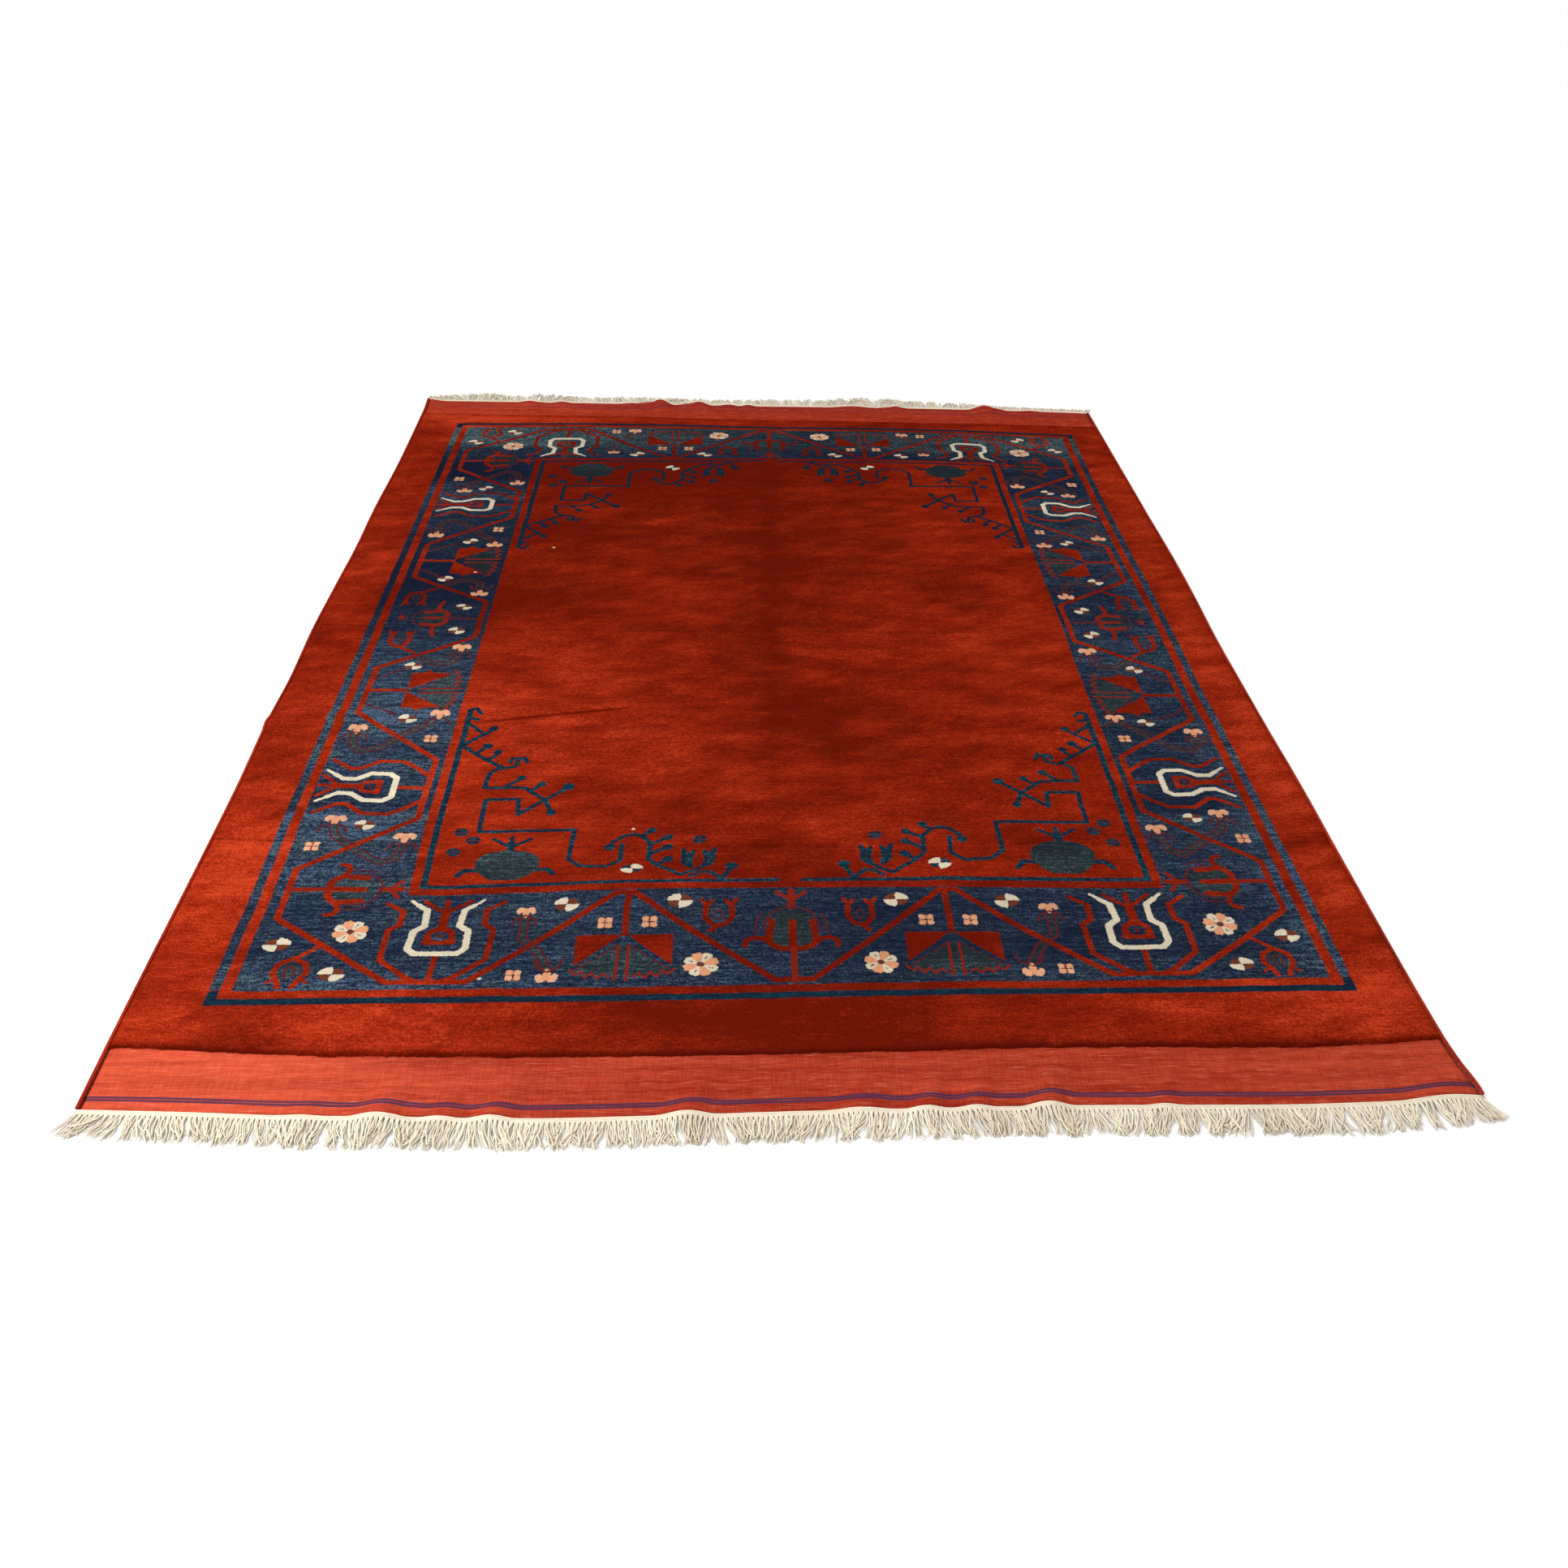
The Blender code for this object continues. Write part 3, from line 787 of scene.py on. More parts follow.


# ---------------------------------------------------------------- shades of the wool, and light and shade painted on it

# Soft patches, partly where the nap lies lighter or darker and partly painted light and shade: the light's
# fall-off towards the back and the right, and a painted shade down the middle fold: x, y, half width, half
# length, amount
NAP_AND_PAINTED_LIGHT_PATCHES = [
    (-0.01, 0.2, 0.032, 1.3, -0.1),
    (0.0, 0.7, 0.6, 0.4, -0.12),
    (-0.3, 0.85, 0.3, 0.16, -0.12),
    (-0.62, -0.48, 0.34, 0.4, 0.3),
    (0.02, -0.4, 0.16, 0.7, -0.08),
    (0.6, -0.55, 0.25, 0.35, 0.04),
    (-0.4, 1.05, 0.45, 0.2, -0.14),
    (-0.78, 0.14, 0.14, 0.12, -0.26),
    (-0.6, 0.5, 0.22, 0.4, -0.06),
    (-1.0, 0.4, 0.08, 0.8, 0.1),
    (-1.0, -0.98, 0.09, 0.36, 0.4),
    (-1.0, -0.64, 0.07, 0.14, -0.24),
    (-0.87, -1.34, 0.1, 0.05, -0.2),
    (-0.72, -1.33, 0.3, 0.09, 0.36),
    (-0.25, -1.33, 0.22, 0.06, -0.16),
    (0.05, -1.33, 0.32, 0.09, -0.16),
    (0.8, -1.32, 0.25, 0.1, 0.26),
    (0.05, -1.14, 0.35, 0.1, -0.2),
    (1.0, 0.4, 0.07, 0.9, 0.2),
    (1.0, -0.12, 0.07, 0.14, 0.12),
    (1.0, -0.62, 0.08, 0.3, 0.3),
    (1.0, -1.01, 0.08, 0.1, 0.24),
    (1.0, -1.25, 0.1, 0.15, 0.24),
    (-0.85, 1.31, 0.32, 0.07, 0.5),
    (0.4, 1.31, 0.35, 0.07, -0.04),
    (0.1, 1.13, 0.75, 0.08, -0.2),
    (-0.58, 0.07, 0.22, 0.1, -0.2),
    (0.4, -1.02, 0.22, 0.08, -0.22),
    (0.62, 0.2, 0.16, 0.5, 0.08),
    (-0.22, 0.68, 0.16, 0.12, -0.1),
    (0.42, 0.6, 0.14, 0.12, 0.1),
    (-0.24, 1.36, 0.25, 0.06, 0.12),
]
NAP_LEVEL = 0.8

# Unevenness of the nap and of the dye: amount, size of the cells in x and y, slant, seed
NAP_NOISES = [
    (0.07, (0.26, 0.16), 0, 21),
    (0.06, (0.1, 0.05), 0, 22),
    (0.05, (0.7, 0.06), 0, 23),
    (0.07, (0.16, 0.3), 0.9, 24),
]
DYE_NOISES = [(0.35, (0.25, 0.03), 0, 31), (0.25, (0.1, 0.03), 0, 32)]

# Painted light and shade of a crease in the pile, lighter above its line and darker on it: its line, and
# its bands, with amount, place above the line and half width
CREASE_START = (-0.66, -0.44)
CREASE_END = (-0.28, -0.366)
PAINTED_CREASE_BANDS = [(0.12, 0.014, 0.01), (-0.5, 0, 0.0048)]
CREASE_FADE = 4  # it fades over a fourth of its length at each end

# Dye lots of the border's ground, from dark navy at 0 to light slate at 1: y, and the lot at these x
DYE_COLUMNS = ("y", -0.8, -0.4, 0.15, 0.85)
DYE = [
    (-1.24, 0.34, 0.26, 0.12, 0.24),
    (-1.12, 0.16, 0.2, 0.09, 0.14),
    (-0.98, 0.27, 0.2, 0.11, 0.24),
    (-0.86, 0.4, 0.22, 0.11, 0.2),
    (-0.8, 0.48, 0.22, 0.11, 0.2),
    (-0.77, 0.8, 0.22, 0.11, 0.36),
    (-0.755, 0.24, 0.2, 0.11, 0.09),
    (-0.62, 0.28, 0.2, 0.11, 0.2),
    (-0.5, 0.38, 0.2, 0.11, 0.2),
    (-0.442, 0.38, 0.2, 0.11, 0.15),
    (-0.432, 0.8, 0.2, 0.11, 0.2),
    (-0.4, 0.78, 0.2, 0.11, 0.16),
    (-0.36, 0.42, 0.2, 0.11, 0.15),
    (-0.2, 0.34, 0.18, 0.12, 0.25),
    (-0.08, 0.18, 0.12, 0.12, 0.26),
    (0.06, 0.07, 0.1, 0.1, 0.13),
    (0.22, 0.03, 0.08, 0.08, 0.15),
    (0.45, 0.1, 0.08, 0.08, 0.22),
    (0.62, 0.16, 0.08, 0.08, 0.18),
    (0.76, 0.26, 0.1, 0.08, 0.24),
    (0.86, 0.04, 0.08, 0.06, 0.09),
    (1.0, 0.06, 0.14, 0.06, 0.11),
    (1.1, 0.28, 0.18, 0.06, 0.22),
    (1.14, 0.58, 0.3, 0.1, 0.44),
    (1.24, 0.52, 0.3, 0.1, 0.38),
]

# The right-hand outer line has its own lots: y, lot
RIGHT_LINE_DYE = [
    (-1.24, 0.5), (-1.0, 0.5), (-0.75, 0.45), (-0.3, 0.32), (0.3, 0.3), (0.6, 0.22), (1.0, 0.16),
    (1.1, 0.28), (1.24, 0.44),
]
RIGHT_LINE_START, RIGHT_LINE_END = 0.85, 0.93  # x from the ground's lots to the line's


def nap_and_painted_light_level(x, y):
    """Light and dark of the pile, about 1: the nap's own unevenness, soft patches of nap and of painted
    light and shade, and the painted light and shade of a crease.
    """
    shade = NAP_LEVEL + noises(NAP_NOISES, x, y)
    for px, py, half_width, half_length, amount in NAP_AND_PAINTED_LIGHT_PATCHES:
        shade = shade + amount * np.exp(-(((x - px) / half_width) ** 2) - ((y - py) / half_length) ** 2)
    # the crease's painted highlight just above its line, and its painted shade on the line
    t = (x - CREASE_START[0]) / (CREASE_END[0] - CREASE_START[0])
    over = y - CREASE_START[1] - t * (CREASE_END[1] - CREASE_START[1])
    edge = sum(amount * np.exp(-(((over - place) / half) ** 2)) for amount, place, half in PAINTED_CREASE_BANDS)
    return shade + edge * ease(CREASE_FADE * t) * ease(CREASE_FADE * (1 - t))


def dye_shade(x, y):
    """How light the border's ground is dyed."""
    to_line = np.clip((x - RIGHT_LINE_START) / (RIGHT_LINE_END - RIGHT_LINE_START), 0, 1)
    line = np.interp(y, *np.transpose(RIGHT_LINE_DYE))
    lot = spread(DYE, DYE_COLUMNS, x, y) * (1 - to_line) + line * to_line
    return np.clip(lot * (1 + noises(DYE_NOISES, x, y)), 0, 1)


GREEN_START, GREEN_EASE = 1.06, 0.06  # the ground turns greenish from here to the back
DARK_START, DARK_EASE = -0.1, 0.6  # the dark drawing keeps more of its dye from here to the back
DARK_LINE_START, DARK_LINE_EASE = -1.2, 0.03  # and so does the outer line across the front
DARK_KEPT, DARK_LINE_KEPT = 0.8, 0.55


def green_shade(y):
    return ease((y - GREEN_START) / GREEN_EASE)


def faded_shade(y):
    """How far the dark drawing has faded."""
    to_back = ease((y - DARK_START) / DARK_EASE)
    front_line = ease((DARK_LINE_START - y) / DARK_LINE_EASE)
    return 1 - DARK_KEPT * to_back - DARK_LINE_KEPT * front_line


# ---------------------------------------------------------------- materials

NAVY = (0.004, 0.0062, 0.016, 1)
SLATE = (0.051, 0.081, 0.127, 1)
SLATE_GREEN = (0.064, 0.098, 0.102, 1)
INK = (0.0042, 0.01, 0.02, 1)
INK_PALE = (0.012, 0.06, 0.085, 1)
LEAF = (0.0075, 0.0105, 0.013, 1)
LEAF_PALE = (0.055, 0.084, 0.096, 1)
RED_DEEP = (0.085, 0.0046, 0.0015, 1)
RED_MIDDLE = (0.195, 0.0124, 0.0031, 1)
RED_LIGHT = (0.37, 0.033, 0.0094, 1)
PLAIN_TONES = {
    "dull_red": (0.15, 0.011, 0.0045, 1),
    "maroon": (0.066, 0.011, 0.012, 1),
    "cream": (0.435, 0.378, 0.278, 1),
    "salmon": (0.46, 0.203, 0.104, 1),
    "petal": (0.46, 0.235, 0.138, 1),
    "brown": (0.1, 0.024, 0.012, 1),
}
SELVEDGE_LIGHT = (0.31, 0.026, 0.011, 1)
SELVEDGE_DARK = (0.18, 0.013, 0.006, 1)
COTTON_DARK = (0.44, 0.36, 0.255, 1)
COTTON_LIGHT = (0.68, 0.615, 0.5, 1)
FLOOR_DARK = (0.78, 0.78, 0.78, 1)
FLOOR_LIGHT = (0.8, 0.8, 0.8, 1)


class Finish:
    """A material and short calls that add nodes to it."""

    def __init__(self, name, roughness):
        self.material = bpy.data.materials.new(name)
        self.material.use_nodes = True
        self.nodes = self.material.node_tree.nodes
        self.links = self.material.node_tree.links
        self.shader = self.nodes["Principled BSDF"]
        self.shader.inputs["Roughness"].default_value = roughness
        self.shader.inputs["Specular IOR Level"].default_value = 0.0
        self.place = self.nodes.new("ShaderNodeTexCoord").outputs["Object"]

    def set(self, node, socket, value):
        if isinstance(value, bpy.types.NodeSocket):
            self.links.new(value, node.inputs[socket])
        else:
            node.inputs[socket].default_value = value

    def math(self, operation, first, second=0.0, third=0.0):
        node = self.nodes.new("ShaderNodeMath")
        node.operation = operation
        for k, value in enumerate((first, second, third)):
            self.set(node, k, value)
        return node.outputs[0]

    def mix(self, factor, first, second, kind="MIX"):
        node = self.nodes.new("ShaderNodeMix")
        node.data_type = "RGBA"
        node.blend_type = kind
        self.set(node, "Factor", factor)
        self.set(node, 6, first)
        self.set(node, 7, second)
        return node.outputs[2]

    def noise(self, scale, stretch=(1, 1, 1), detail=2.0, rough=0.5, turn=0.0):
        """Noise from about 0.3 to 0.7, with cells of 1 / scale metres, drawn out where stretch is small."""
        mapping = self.nodes.new("ShaderNodeMapping")
        mapping.vector_type = "TEXTURE"
        mapping.inputs["Scale"].default_value = [1 / part for part in stretch]
        mapping.inputs["Rotation"].default_value = (0, 0, turn)
        self.links.new(self.place, mapping.inputs["Vector"])
        node = self.nodes.new("ShaderNodeTexNoise")
        node.inputs["Scale"].default_value = scale
        node.inputs["Detail"].default_value = detail
        node.inputs["Roughness"].default_value = rough
        self.links.new(mapping.outputs[0], node.inputs["Vector"])
        return node.outputs["Fac"]

    def field(self, name):
        node = self.nodes.new("ShaderNodeAttribute")
        node.attribute_name = name
        return node.outputs["Fac"]

    def ramp(self, value, low, high, low_to=0.0, high_to=1.0):
        node = self.nodes.new("ShaderNodeMapRange")
        self.set(node, "Value", value)
        sockets = ("From Min", "From Max", "To Min", "To Max")
        for socket, number in zip(sockets, (low, high, low_to, high_to)):
            node.inputs[socket].default_value = number
        return node.outputs[0]

    def swing(self, pattern, low=0.0, high=1.0):
        """Noise spread from low to high."""
        return self.ramp(pattern, 0.3, 0.7, low, high)

    def times(self, value, patterns):
        """A value times each pattern, spread from its low to its high."""
        for pattern, low, high in patterns:
            value = self.math("MULTIPLY", value, self.swing(pattern, low, high))
        return value

    def grey(self, value):
        node = self.nodes.new("ShaderNodeCombineColor")
        for k in range(3):
            self.set(node, k, value)
        return node.outputs[0]

    def shaded(self, colour, shade):
        """A colour times a grey."""
        return self.mix(1.0, colour, shade, "MULTIPLY")

    def bump(self, height, distance, strength):
        node = self.nodes.new("ShaderNodeBump")
        node.inputs["Distance"].default_value = distance
        node.inputs["Strength"].default_value = strength
        self.links.new(height, node.inputs["Height"])
        self.links.new(node.outputs[0], self.shader.inputs["Normal"])

    def colour(self, value):
        self.links.new(value, self.shader.inputs["Base Color"])


FRAY = 0.0055  # how far the knots blur the outlines of the pattern
OUTLINE_HALF = 0.0007
TUFT_DEPTH = 0.002


def pile_wool():
    """Knotted wool. Its colours come from the woven distances, the nap with the light and shade painted
    into it, and the dye of each point.
    """
    finish = Finish("pile_wool", 0.95)
    tuft = finish.noise(300, (1, 0.9, 1), detail=3, rough=0.6)
    clump = finish.noise(75, (1, 2.8, 1), detail=2, rough=0.6)
    streak = finish.noise(1.0, (13, 150, 13), detail=3, rough=0.6)
    cloud = finish.noise(1.0, (6, 17, 6), detail=5, rough=0.65)
    drag = finish.noise(1.0, (9, 24, 9), detail=4, rough=0.6, turn=0.45)
    fray = finish.math("MULTIPLY_ADD", finish.noise(330, detail=2), FRAY, -FRAY / 2)

    shades = [(cloud, 0.78, 1.22), (drag, 0.86, 1.14), (streak, 0.93, 1.07)]
    # level is the nap with its painted light and shade, times random unevenness
    level = finish.times(finish.field("nap_and_painted_light"), [*shades, (tuft, 0.72, 1.28), (clump, 0.86, 1.14)])
    # darker and lighter reds, for both the nap's own tone and painted shade and light
    red = finish.mix(finish.ramp(level, 0.6, 1.0), RED_DEEP, RED_MIDDLE)
    red = finish.mix(finish.ramp(level, 1.0, 1.5), red, RED_LIGHT)

    mottle = finish.swing(tuft, -0.2, 1.2)
    mottle = finish.math("MULTIPLY", mottle, finish.ramp(streak, 0.35, 0.65, 0.35, 1.65))
    mottle = finish.math("MULTIPLY", mottle, finish.ramp(clump, 0.35, 0.65, 0.25, 1.75))
    dye = finish.math("MULTIPLY", finish.field("dye"), finish.math("MULTIPLY", mottle, 2.0))

    greenish = finish.math("ADD", finish.field("green"), finish.ramp(drag, 0.46, 0.66, 0.0, 0.8))
    slate = finish.mix(greenish, SLATE, SLATE_GREEN)
    fresh = finish.ramp(mottle, 0.2, 1.7)
    # the plain tones take the same painted light and shade
    shade = finish.grey(finish.ramp(level, 0.4, 1.4, 0.72, 1.25))
    tones = {
        "blue": finish.mix(finish.ramp(dye, 0.0, 1.0), NAVY, slate),
        "ink": finish.mix(finish.math("MULTIPLY", fresh, finish.field("faded")), INK, INK_PALE),
        "teal": finish.mix(finish.ramp(dye, 0.0, 1.0), LEAF, LEAF_PALE),
        "red": red,
    }
    for name, tone in PLAIN_TONES.items():
        tones[name] = finish.shaded(tone, shade)
    colour = red
    for name in LAYERS:
        edge = finish.math("ADD", finish.field(name), fray)
        colour = finish.mix(finish.ramp(edge, OUTLINE_HALF, -OUTLINE_HALF), colour, tones[name])
    finish.colour(colour)
    fibre = finish.noise(900, (1, 0.35, 1), detail=1)
    height = finish.math("ADD", tuft, finish.math("MULTIPLY", fibre, 0.3))
    finish.bump(height, TUFT_DEPTH, 0.8)
    return finish.material


FLATWEAVE_DARK = (0.19, 0.014, 0.0058, 1)
FLATWEAVE_LIGHT = (0.58, 0.086, 0.04, 1)
FLATWEAVE_DEEP = (0.58, 0.068, 0.025, 1)
FLATWEAVE_FLECK = (0.7, 0.23, 0.15, 1)
STRIPE_PURPLE = (0.042, 0.016, 0.04, 1)
STRIPE_SLATE = (0.018, 0.022, 0.052, 1)

# Dark lines woven near the hem: distance in from the hem, half width
FRONT_STRIPES = [(0.0184, 0.0023), (0.024, 0.0023)]
BACK_STRIPES = [(0.02, 0.004), (0.048, 0.005)]
STRIPE_BLUR = 0.0006
RIB_DEPTH = 0.0009


def flat_wool(name, stripes, strength, light):
    """Ribbed flat weave, with fine light dashes of the weft and dark stripes."""
    finish = Finish(name, 0.9)
    weft = finish.noise(1.0, (22, 620, 22), detail=2)
    band = finish.noise(1.0, (3, 75, 3), detail=4, rough=0.6)
    dash = finish.noise(1.0, (28, 520, 28), detail=2)
    warp = finish.noise(1.0, (300, 30, 300), detail=1)
    # level is mostly painted light here: lighter at the front's left, darker in its middle and over the
    # back
    level = finish.times(finish.field("nap_and_painted_light"), [(band, 0.86, 1.14), (weft, 0.86, 1.14), (warp, 0.93, 1.07)])
    colour = finish.mix(finish.ramp(level, 0.55, 1.25), FLATWEAVE_DARK, light)
    colour = finish.mix(finish.ramp(dash, 0.58, 0.74, 0.0, 0.3), colour, FLATWEAVE_FLECK)
    stripe = finish.mix(finish.ramp(weft, 0.4, 0.6), STRIPE_PURPLE, STRIPE_SLATE)
    for place, half in stripes:
        away = finish.math("ABSOLUTE", finish.math("SUBTRACT", finish.field("inward"), place))
        covered = finish.ramp(away, half + STRIPE_BLUR, half - STRIPE_BLUR, 0.0, strength)
        colour = finish.mix(covered, colour, stripe)
    finish.colour(colour)
    height = finish.math("ADD", weft, finish.math("MULTIPLY", warp, 0.5))
    finish.bump(height, RIB_DEPTH, 0.8)
    return finish.material


def selvedge_wool():
    finish = Finish("selvedge_wool", 0.92)
    strand = finish.noise(1.0, (300, 700, 300), detail=2)
    tone = finish.swing(finish.noise(9, detail=3))
    colour = finish.mix(tone, SELVEDGE_LIGHT, SELVEDGE_DARK)
    finish.colour(finish.shaded(colour, finish.grey(finish.swing(strand, 0.75, 1.2))))
    finish.bump(strand, 0.0008, 0.7)
    return finish.material


def fringe_cotton():
    finish = Finish("fringe_cotton", 0.9)
    fibre = finish.noise(900, detail=2)
    colour = finish.mix(finish.field("tone"), COTTON_DARK, COTTON_LIGHT)
    finish.colour(finish.shaded(colour, finish.grey(finish.swing(fibre, 0.86, 1.1))))
    finish.bump(fibre, 0.0005, 0.6)
    return finish.material


def floor_paint():
    finish = Finish("floor_paint", 0.7)
    finish.colour(finish.mix(finish.noise(3, detail=1), FLOOR_DARK, FLOOR_LIGHT))
    return finish.material


# ---------------------------------------------------------------- meshes


def add_object(name, data):
    made = bpy.data.objects.new(name, data)
    bpy.context.scene.collection.objects.link(made)
    return made


def add_mesh(name, points, faces, finish, fields=None, uv=None, flat_faces=0):
    """A smooth mesh object from its points and its arrays of faces. The last flat_faces stay flat."""
    corners = np.concatenate([part.ravel() for part in faces]).astype(np.int32)
    sizes = np.concatenate([np.full(len(part), part.shape[1]) for part in faces])
    mesh = bpy.data.meshes.new(name)
    mesh.vertices.add(len(points))
    mesh.vertices.foreach_set("co", np.asarray(points, np.float32).ravel())
    mesh.loops.add(len(corners))
    mesh.loops.foreach_set("vertex_index", corners)
    mesh.polygons.add(len(sizes))
    mesh.polygons.foreach_set("loop_start", (np.cumsum(sizes) - sizes).astype(np.int32))
    mesh.update(calc_edges=True)
    mesh.polygons.foreach_set("use_smooth", np.arange(len(sizes)) < len(sizes) - flat_faces)
    for field, values in (fields or {}).items():
        layer = mesh.attributes.new(field, "FLOAT", "POINT")
        layer.data.foreach_set("value", np.asarray(values, np.float32).ravel())
    if uv is not None:
        layer = mesh.uv_layers.new(name="OFBake")
        layer.data.foreach_set("uv", np.asarray(uv, np.float32)[corners].ravel())
    mesh.materials.append(finish)
    return add_object(name, mesh)


# A sheet's top is laid out on a fine grid, whose blocks are left whole, cut in four or cut in sixteen.
BLOCK = 4  # steps of the fine grid along a block
CELL_SIZES = (4, 2, 1)  # steps along a cell, for each level
LOW_STEP = 8  # steps along a face of the underside


def cells_at(levels):
    """For each cell size, the rows and columns of the cells' first corners."""
    cells = {}
    for level, size in enumerate(CELL_SIZES):
        block_row, block_column = np.nonzero(levels == level)
        offset = np.arange(0, BLOCK, size)
        row = block_row[:, None, None] * BLOCK + offset[None, :, None]
        column = block_column[:, None, None] * BLOCK + offset[None, None, :]
        row, column = np.broadcast_arrays(row, column)
        cells[size] = (row.ravel(), column.ravel())
    return cells


def corners_used(cells, shape):
    """Which points of the fine grid are corners of cells."""
    used = np.zeros(shape, bool)
    for size, (row, column) in cells.items():
        for i in (0, size):
            for j in (0, size):
                used[row + i, column + j] = True
    return used


def ring(size):
    """Steps round a cell from its first corner, as rows and columns."""
    there, back = np.arange(size), np.arange(size, 0, -1)
    row = np.concatenate([0 * there, there, 0 * there + size, back])
    column = np.concatenate([there, 0 * there + size, back, 0 * there])
    return row, column


def grouped(index, keep):
    """Faces from rows of point numbers without those not kept, in one array for each count of corners."""
    counts = keep.sum(1)
    return [index[counts == n][keep[counts == n]].reshape(-1, n) for n in np.unique(counts)]


def wall(rim, rim_used, low_rim, outward):
    """Faces from an edge of the top down to the same edge of the underside."""
    at = LOW_STEP * np.arange(len(low_rim) - 1)[:, None] + np.arange(LOW_STEP + 1)
    index = np.concatenate([low_rim[1:, None], low_rim[:-1, None], rim[at]], 1)
    keep = np.concatenate([np.ones((len(at), 2), bool), rim_used[at]], 1)
    return [part[:, ::outward] for part in grouped(index, keep)]


# Where a sheet lies on its map: the start and the span
MAP_ACROSS = (0.004, 0.992)
MAP_TOP = (0.31, 0.685)
MAP_UNDERSIDE = (0.005, 0.285)


def sheet_uv(x, y, is_top):
    """The top on the upper part of the map, and the underside on the lower part."""
    u = (x - x.min()) / (x.max() - x.min())
    v = (y - y.min()) / (y.max() - y.min())
    start, span = np.where(is_top[:, None], MAP_TOP, MAP_UNDERSIDE).T
    return np.stack([MAP_ACROSS[0] + MAP_ACROSS[1] * u, start + span * v], -1)


def closed_sheet(name, finish, grid, fields, cells, used):
    """A sheet with its cells on top, a coarse underside and walls. grid holds x, y, top and bottom."""
    count = int(used.sum())
    number = np.where(used, np.cumsum(used.ravel()).reshape(used.shape) - 1, -1)
    coarse = (slice(None, None, LOW_STEP), slice(None, None, LOW_STEP))
    low = count + np.arange(grid["x"][coarse].size).reshape(grid["x"][coarse].shape)
    points = np.concatenate([
        np.stack([grid[key][used] for key in ("x", "y", "top")], 1),
        np.stack([grid[key][coarse].ravel() for key in ("x", "y", "bottom")], 1),
    ])
    faces = []
    for size, (row, column) in cells.items():
        around = ring(size)
        i, j = row[:, None] + around[0], column[:, None] + around[1]
        faces += grouped(number[i, j], used[i, j])
    faces.append(np.stack([low[:-1, :-1], low[1:, :-1], low[1:, 1:], low[:-1, 1:]], -1).reshape(-1, 4))
    walls = [
        *wall(number[0], used[0], low[0], -1),
        *wall(number[-1], used[-1], low[-1], 1),
        *wall(number[:, 0], used[:, 0], low[:, 0], 1),
        *wall(number[:, -1], used[:, -1], low[:, -1], -1),
    ]
    values = {key: np.concatenate([field[used], field[coarse].ravel()]) for key, field in fields.items()}
    uv = sheet_uv(points[:, 0], points[:, 1], np.arange(len(points)) < count)
    wall_count = sum(len(part) for part in walls)
    return add_mesh(name, points, [*faces, *walls], finish, values, uv, wall_count)


SIDE_TUCK = 0.0014  # the sheets run this far in under the cords of the selvedges


def sheet_side(name, y):
    outward = -1 if name == "left" else 1
    return body_side(name, y) + outward * SIDE_TUCK


def sheet_width():
    return float(sheet_side("right", 0.0) - sheet_side("left", 0.0))


def rug_grid(across, lengthwise, first, last):
    """x and y at each place of a grid that follows the rug's own sides and ends."""
    s, t = np.meshgrid(across, lengthwise)
    x = sheet_side("left", 0.0) * (1 - s) + sheet_side("right", 0.0) * s
    for _ in range(3):
        y = end(first, x) * (1 - t) + end(last, x) * t
        x = sheet_side("left", y) * (1 - s) + sheet_side("right", y) * s
    return x, y


PILE_STEP = 0.0025
EDGE_PLACES = (0.0, 0.0007, 0.0022, 0.0045, 0.008)
PILE_ROUNDING = 0.0065
PILE_STRIPS = 4
SWELL = 0.0005
THINNEST = 0.0008
RAGGED_REACH = 0.02  # the pile's ends are a little ragged, up to this far in
RAGGED_NOISES = [(0.0012, (0.006, 0.5), 0, 44), (0.0016, (0.03, 0.5), 0, 45)]
PAINTED_FOOT_SHADOW = 0.35  # painted shadow darkening the pile at its ends, over this reach
FOOT_REACH = 0.007
DETAIL_REACH = 0.007  # blocks this near the outline of a small shape are cut in sixteen
PATTERN_REACH = 0.0085  # and this near any other, in four


def pile_places(length):
    """Places from 0 to length in steps near PILE_STEP, closer together at both ends."""
    inner = EDGE_PLACES[-1]
    count = round((length - 2 * inner) / PILE_STEP / LOW_STEP) * LOW_STEP
    middle = np.linspace(inner, length - inner, count + 1)
    return np.concatenate([EDGE_PLACES[:-1], middle, length - np.array(EDGE_PLACES[:-1])[::-1]])


def pile_levels(x, y):
    """How finely each block of the pile is cut."""
    middle = (slice(BLOCK // 2, None, BLOCK), slice(BLOCK // 2, None, BLOCK))
    distances = woven_distances(x[middle].ravel(), y[middle].ravel())
    nearest = np.min([np.abs(distances[name]) for name in LAYERS], 0)
    levels = np.where(nearest < PATTERN_REACH, 1, 0)
    # blocks along the crease's painted light and shade are cut finely too
    crease = segment_distance(x[middle].ravel(), y[middle].ravel(), CREASE_START, CREASE_END)
    fine = (np.abs(distances[DETAIL]) < DETAIL_REACH) | (crease < DETAIL_REACH)
    levels = np.where(fine, 2, levels).reshape(x[middle].shape)
    for edge in (levels[0], levels[-1], levels[:, 0], levels[:, -1]):
        edge[:] = 2
    return levels


def pile_top(x, y, from_side, from_end):
    """Height of the pile's top over its underside."""
    edge = np.minimum(from_side, from_end)
    shoulder = ease(from_side / SHOULDER)
    full = EDGE_PILE_THICKNESS + (PILE_THICKNESS - EDGE_PILE_THICKNESS) * shoulder
    full = full + SWELL * (np.sin(9 * x + 4 * y) + np.sin(5 * x - 7 * y + 1)) * shoulder
    full = full + SWELL * noise(x, y, 0.045, 0.025, 42)
    round_over = np.sqrt(1 - (1 - np.clip(edge / PILE_ROUNDING, 0, 1)) ** 2)
    return np.maximum(full * round_over, THINNEST)


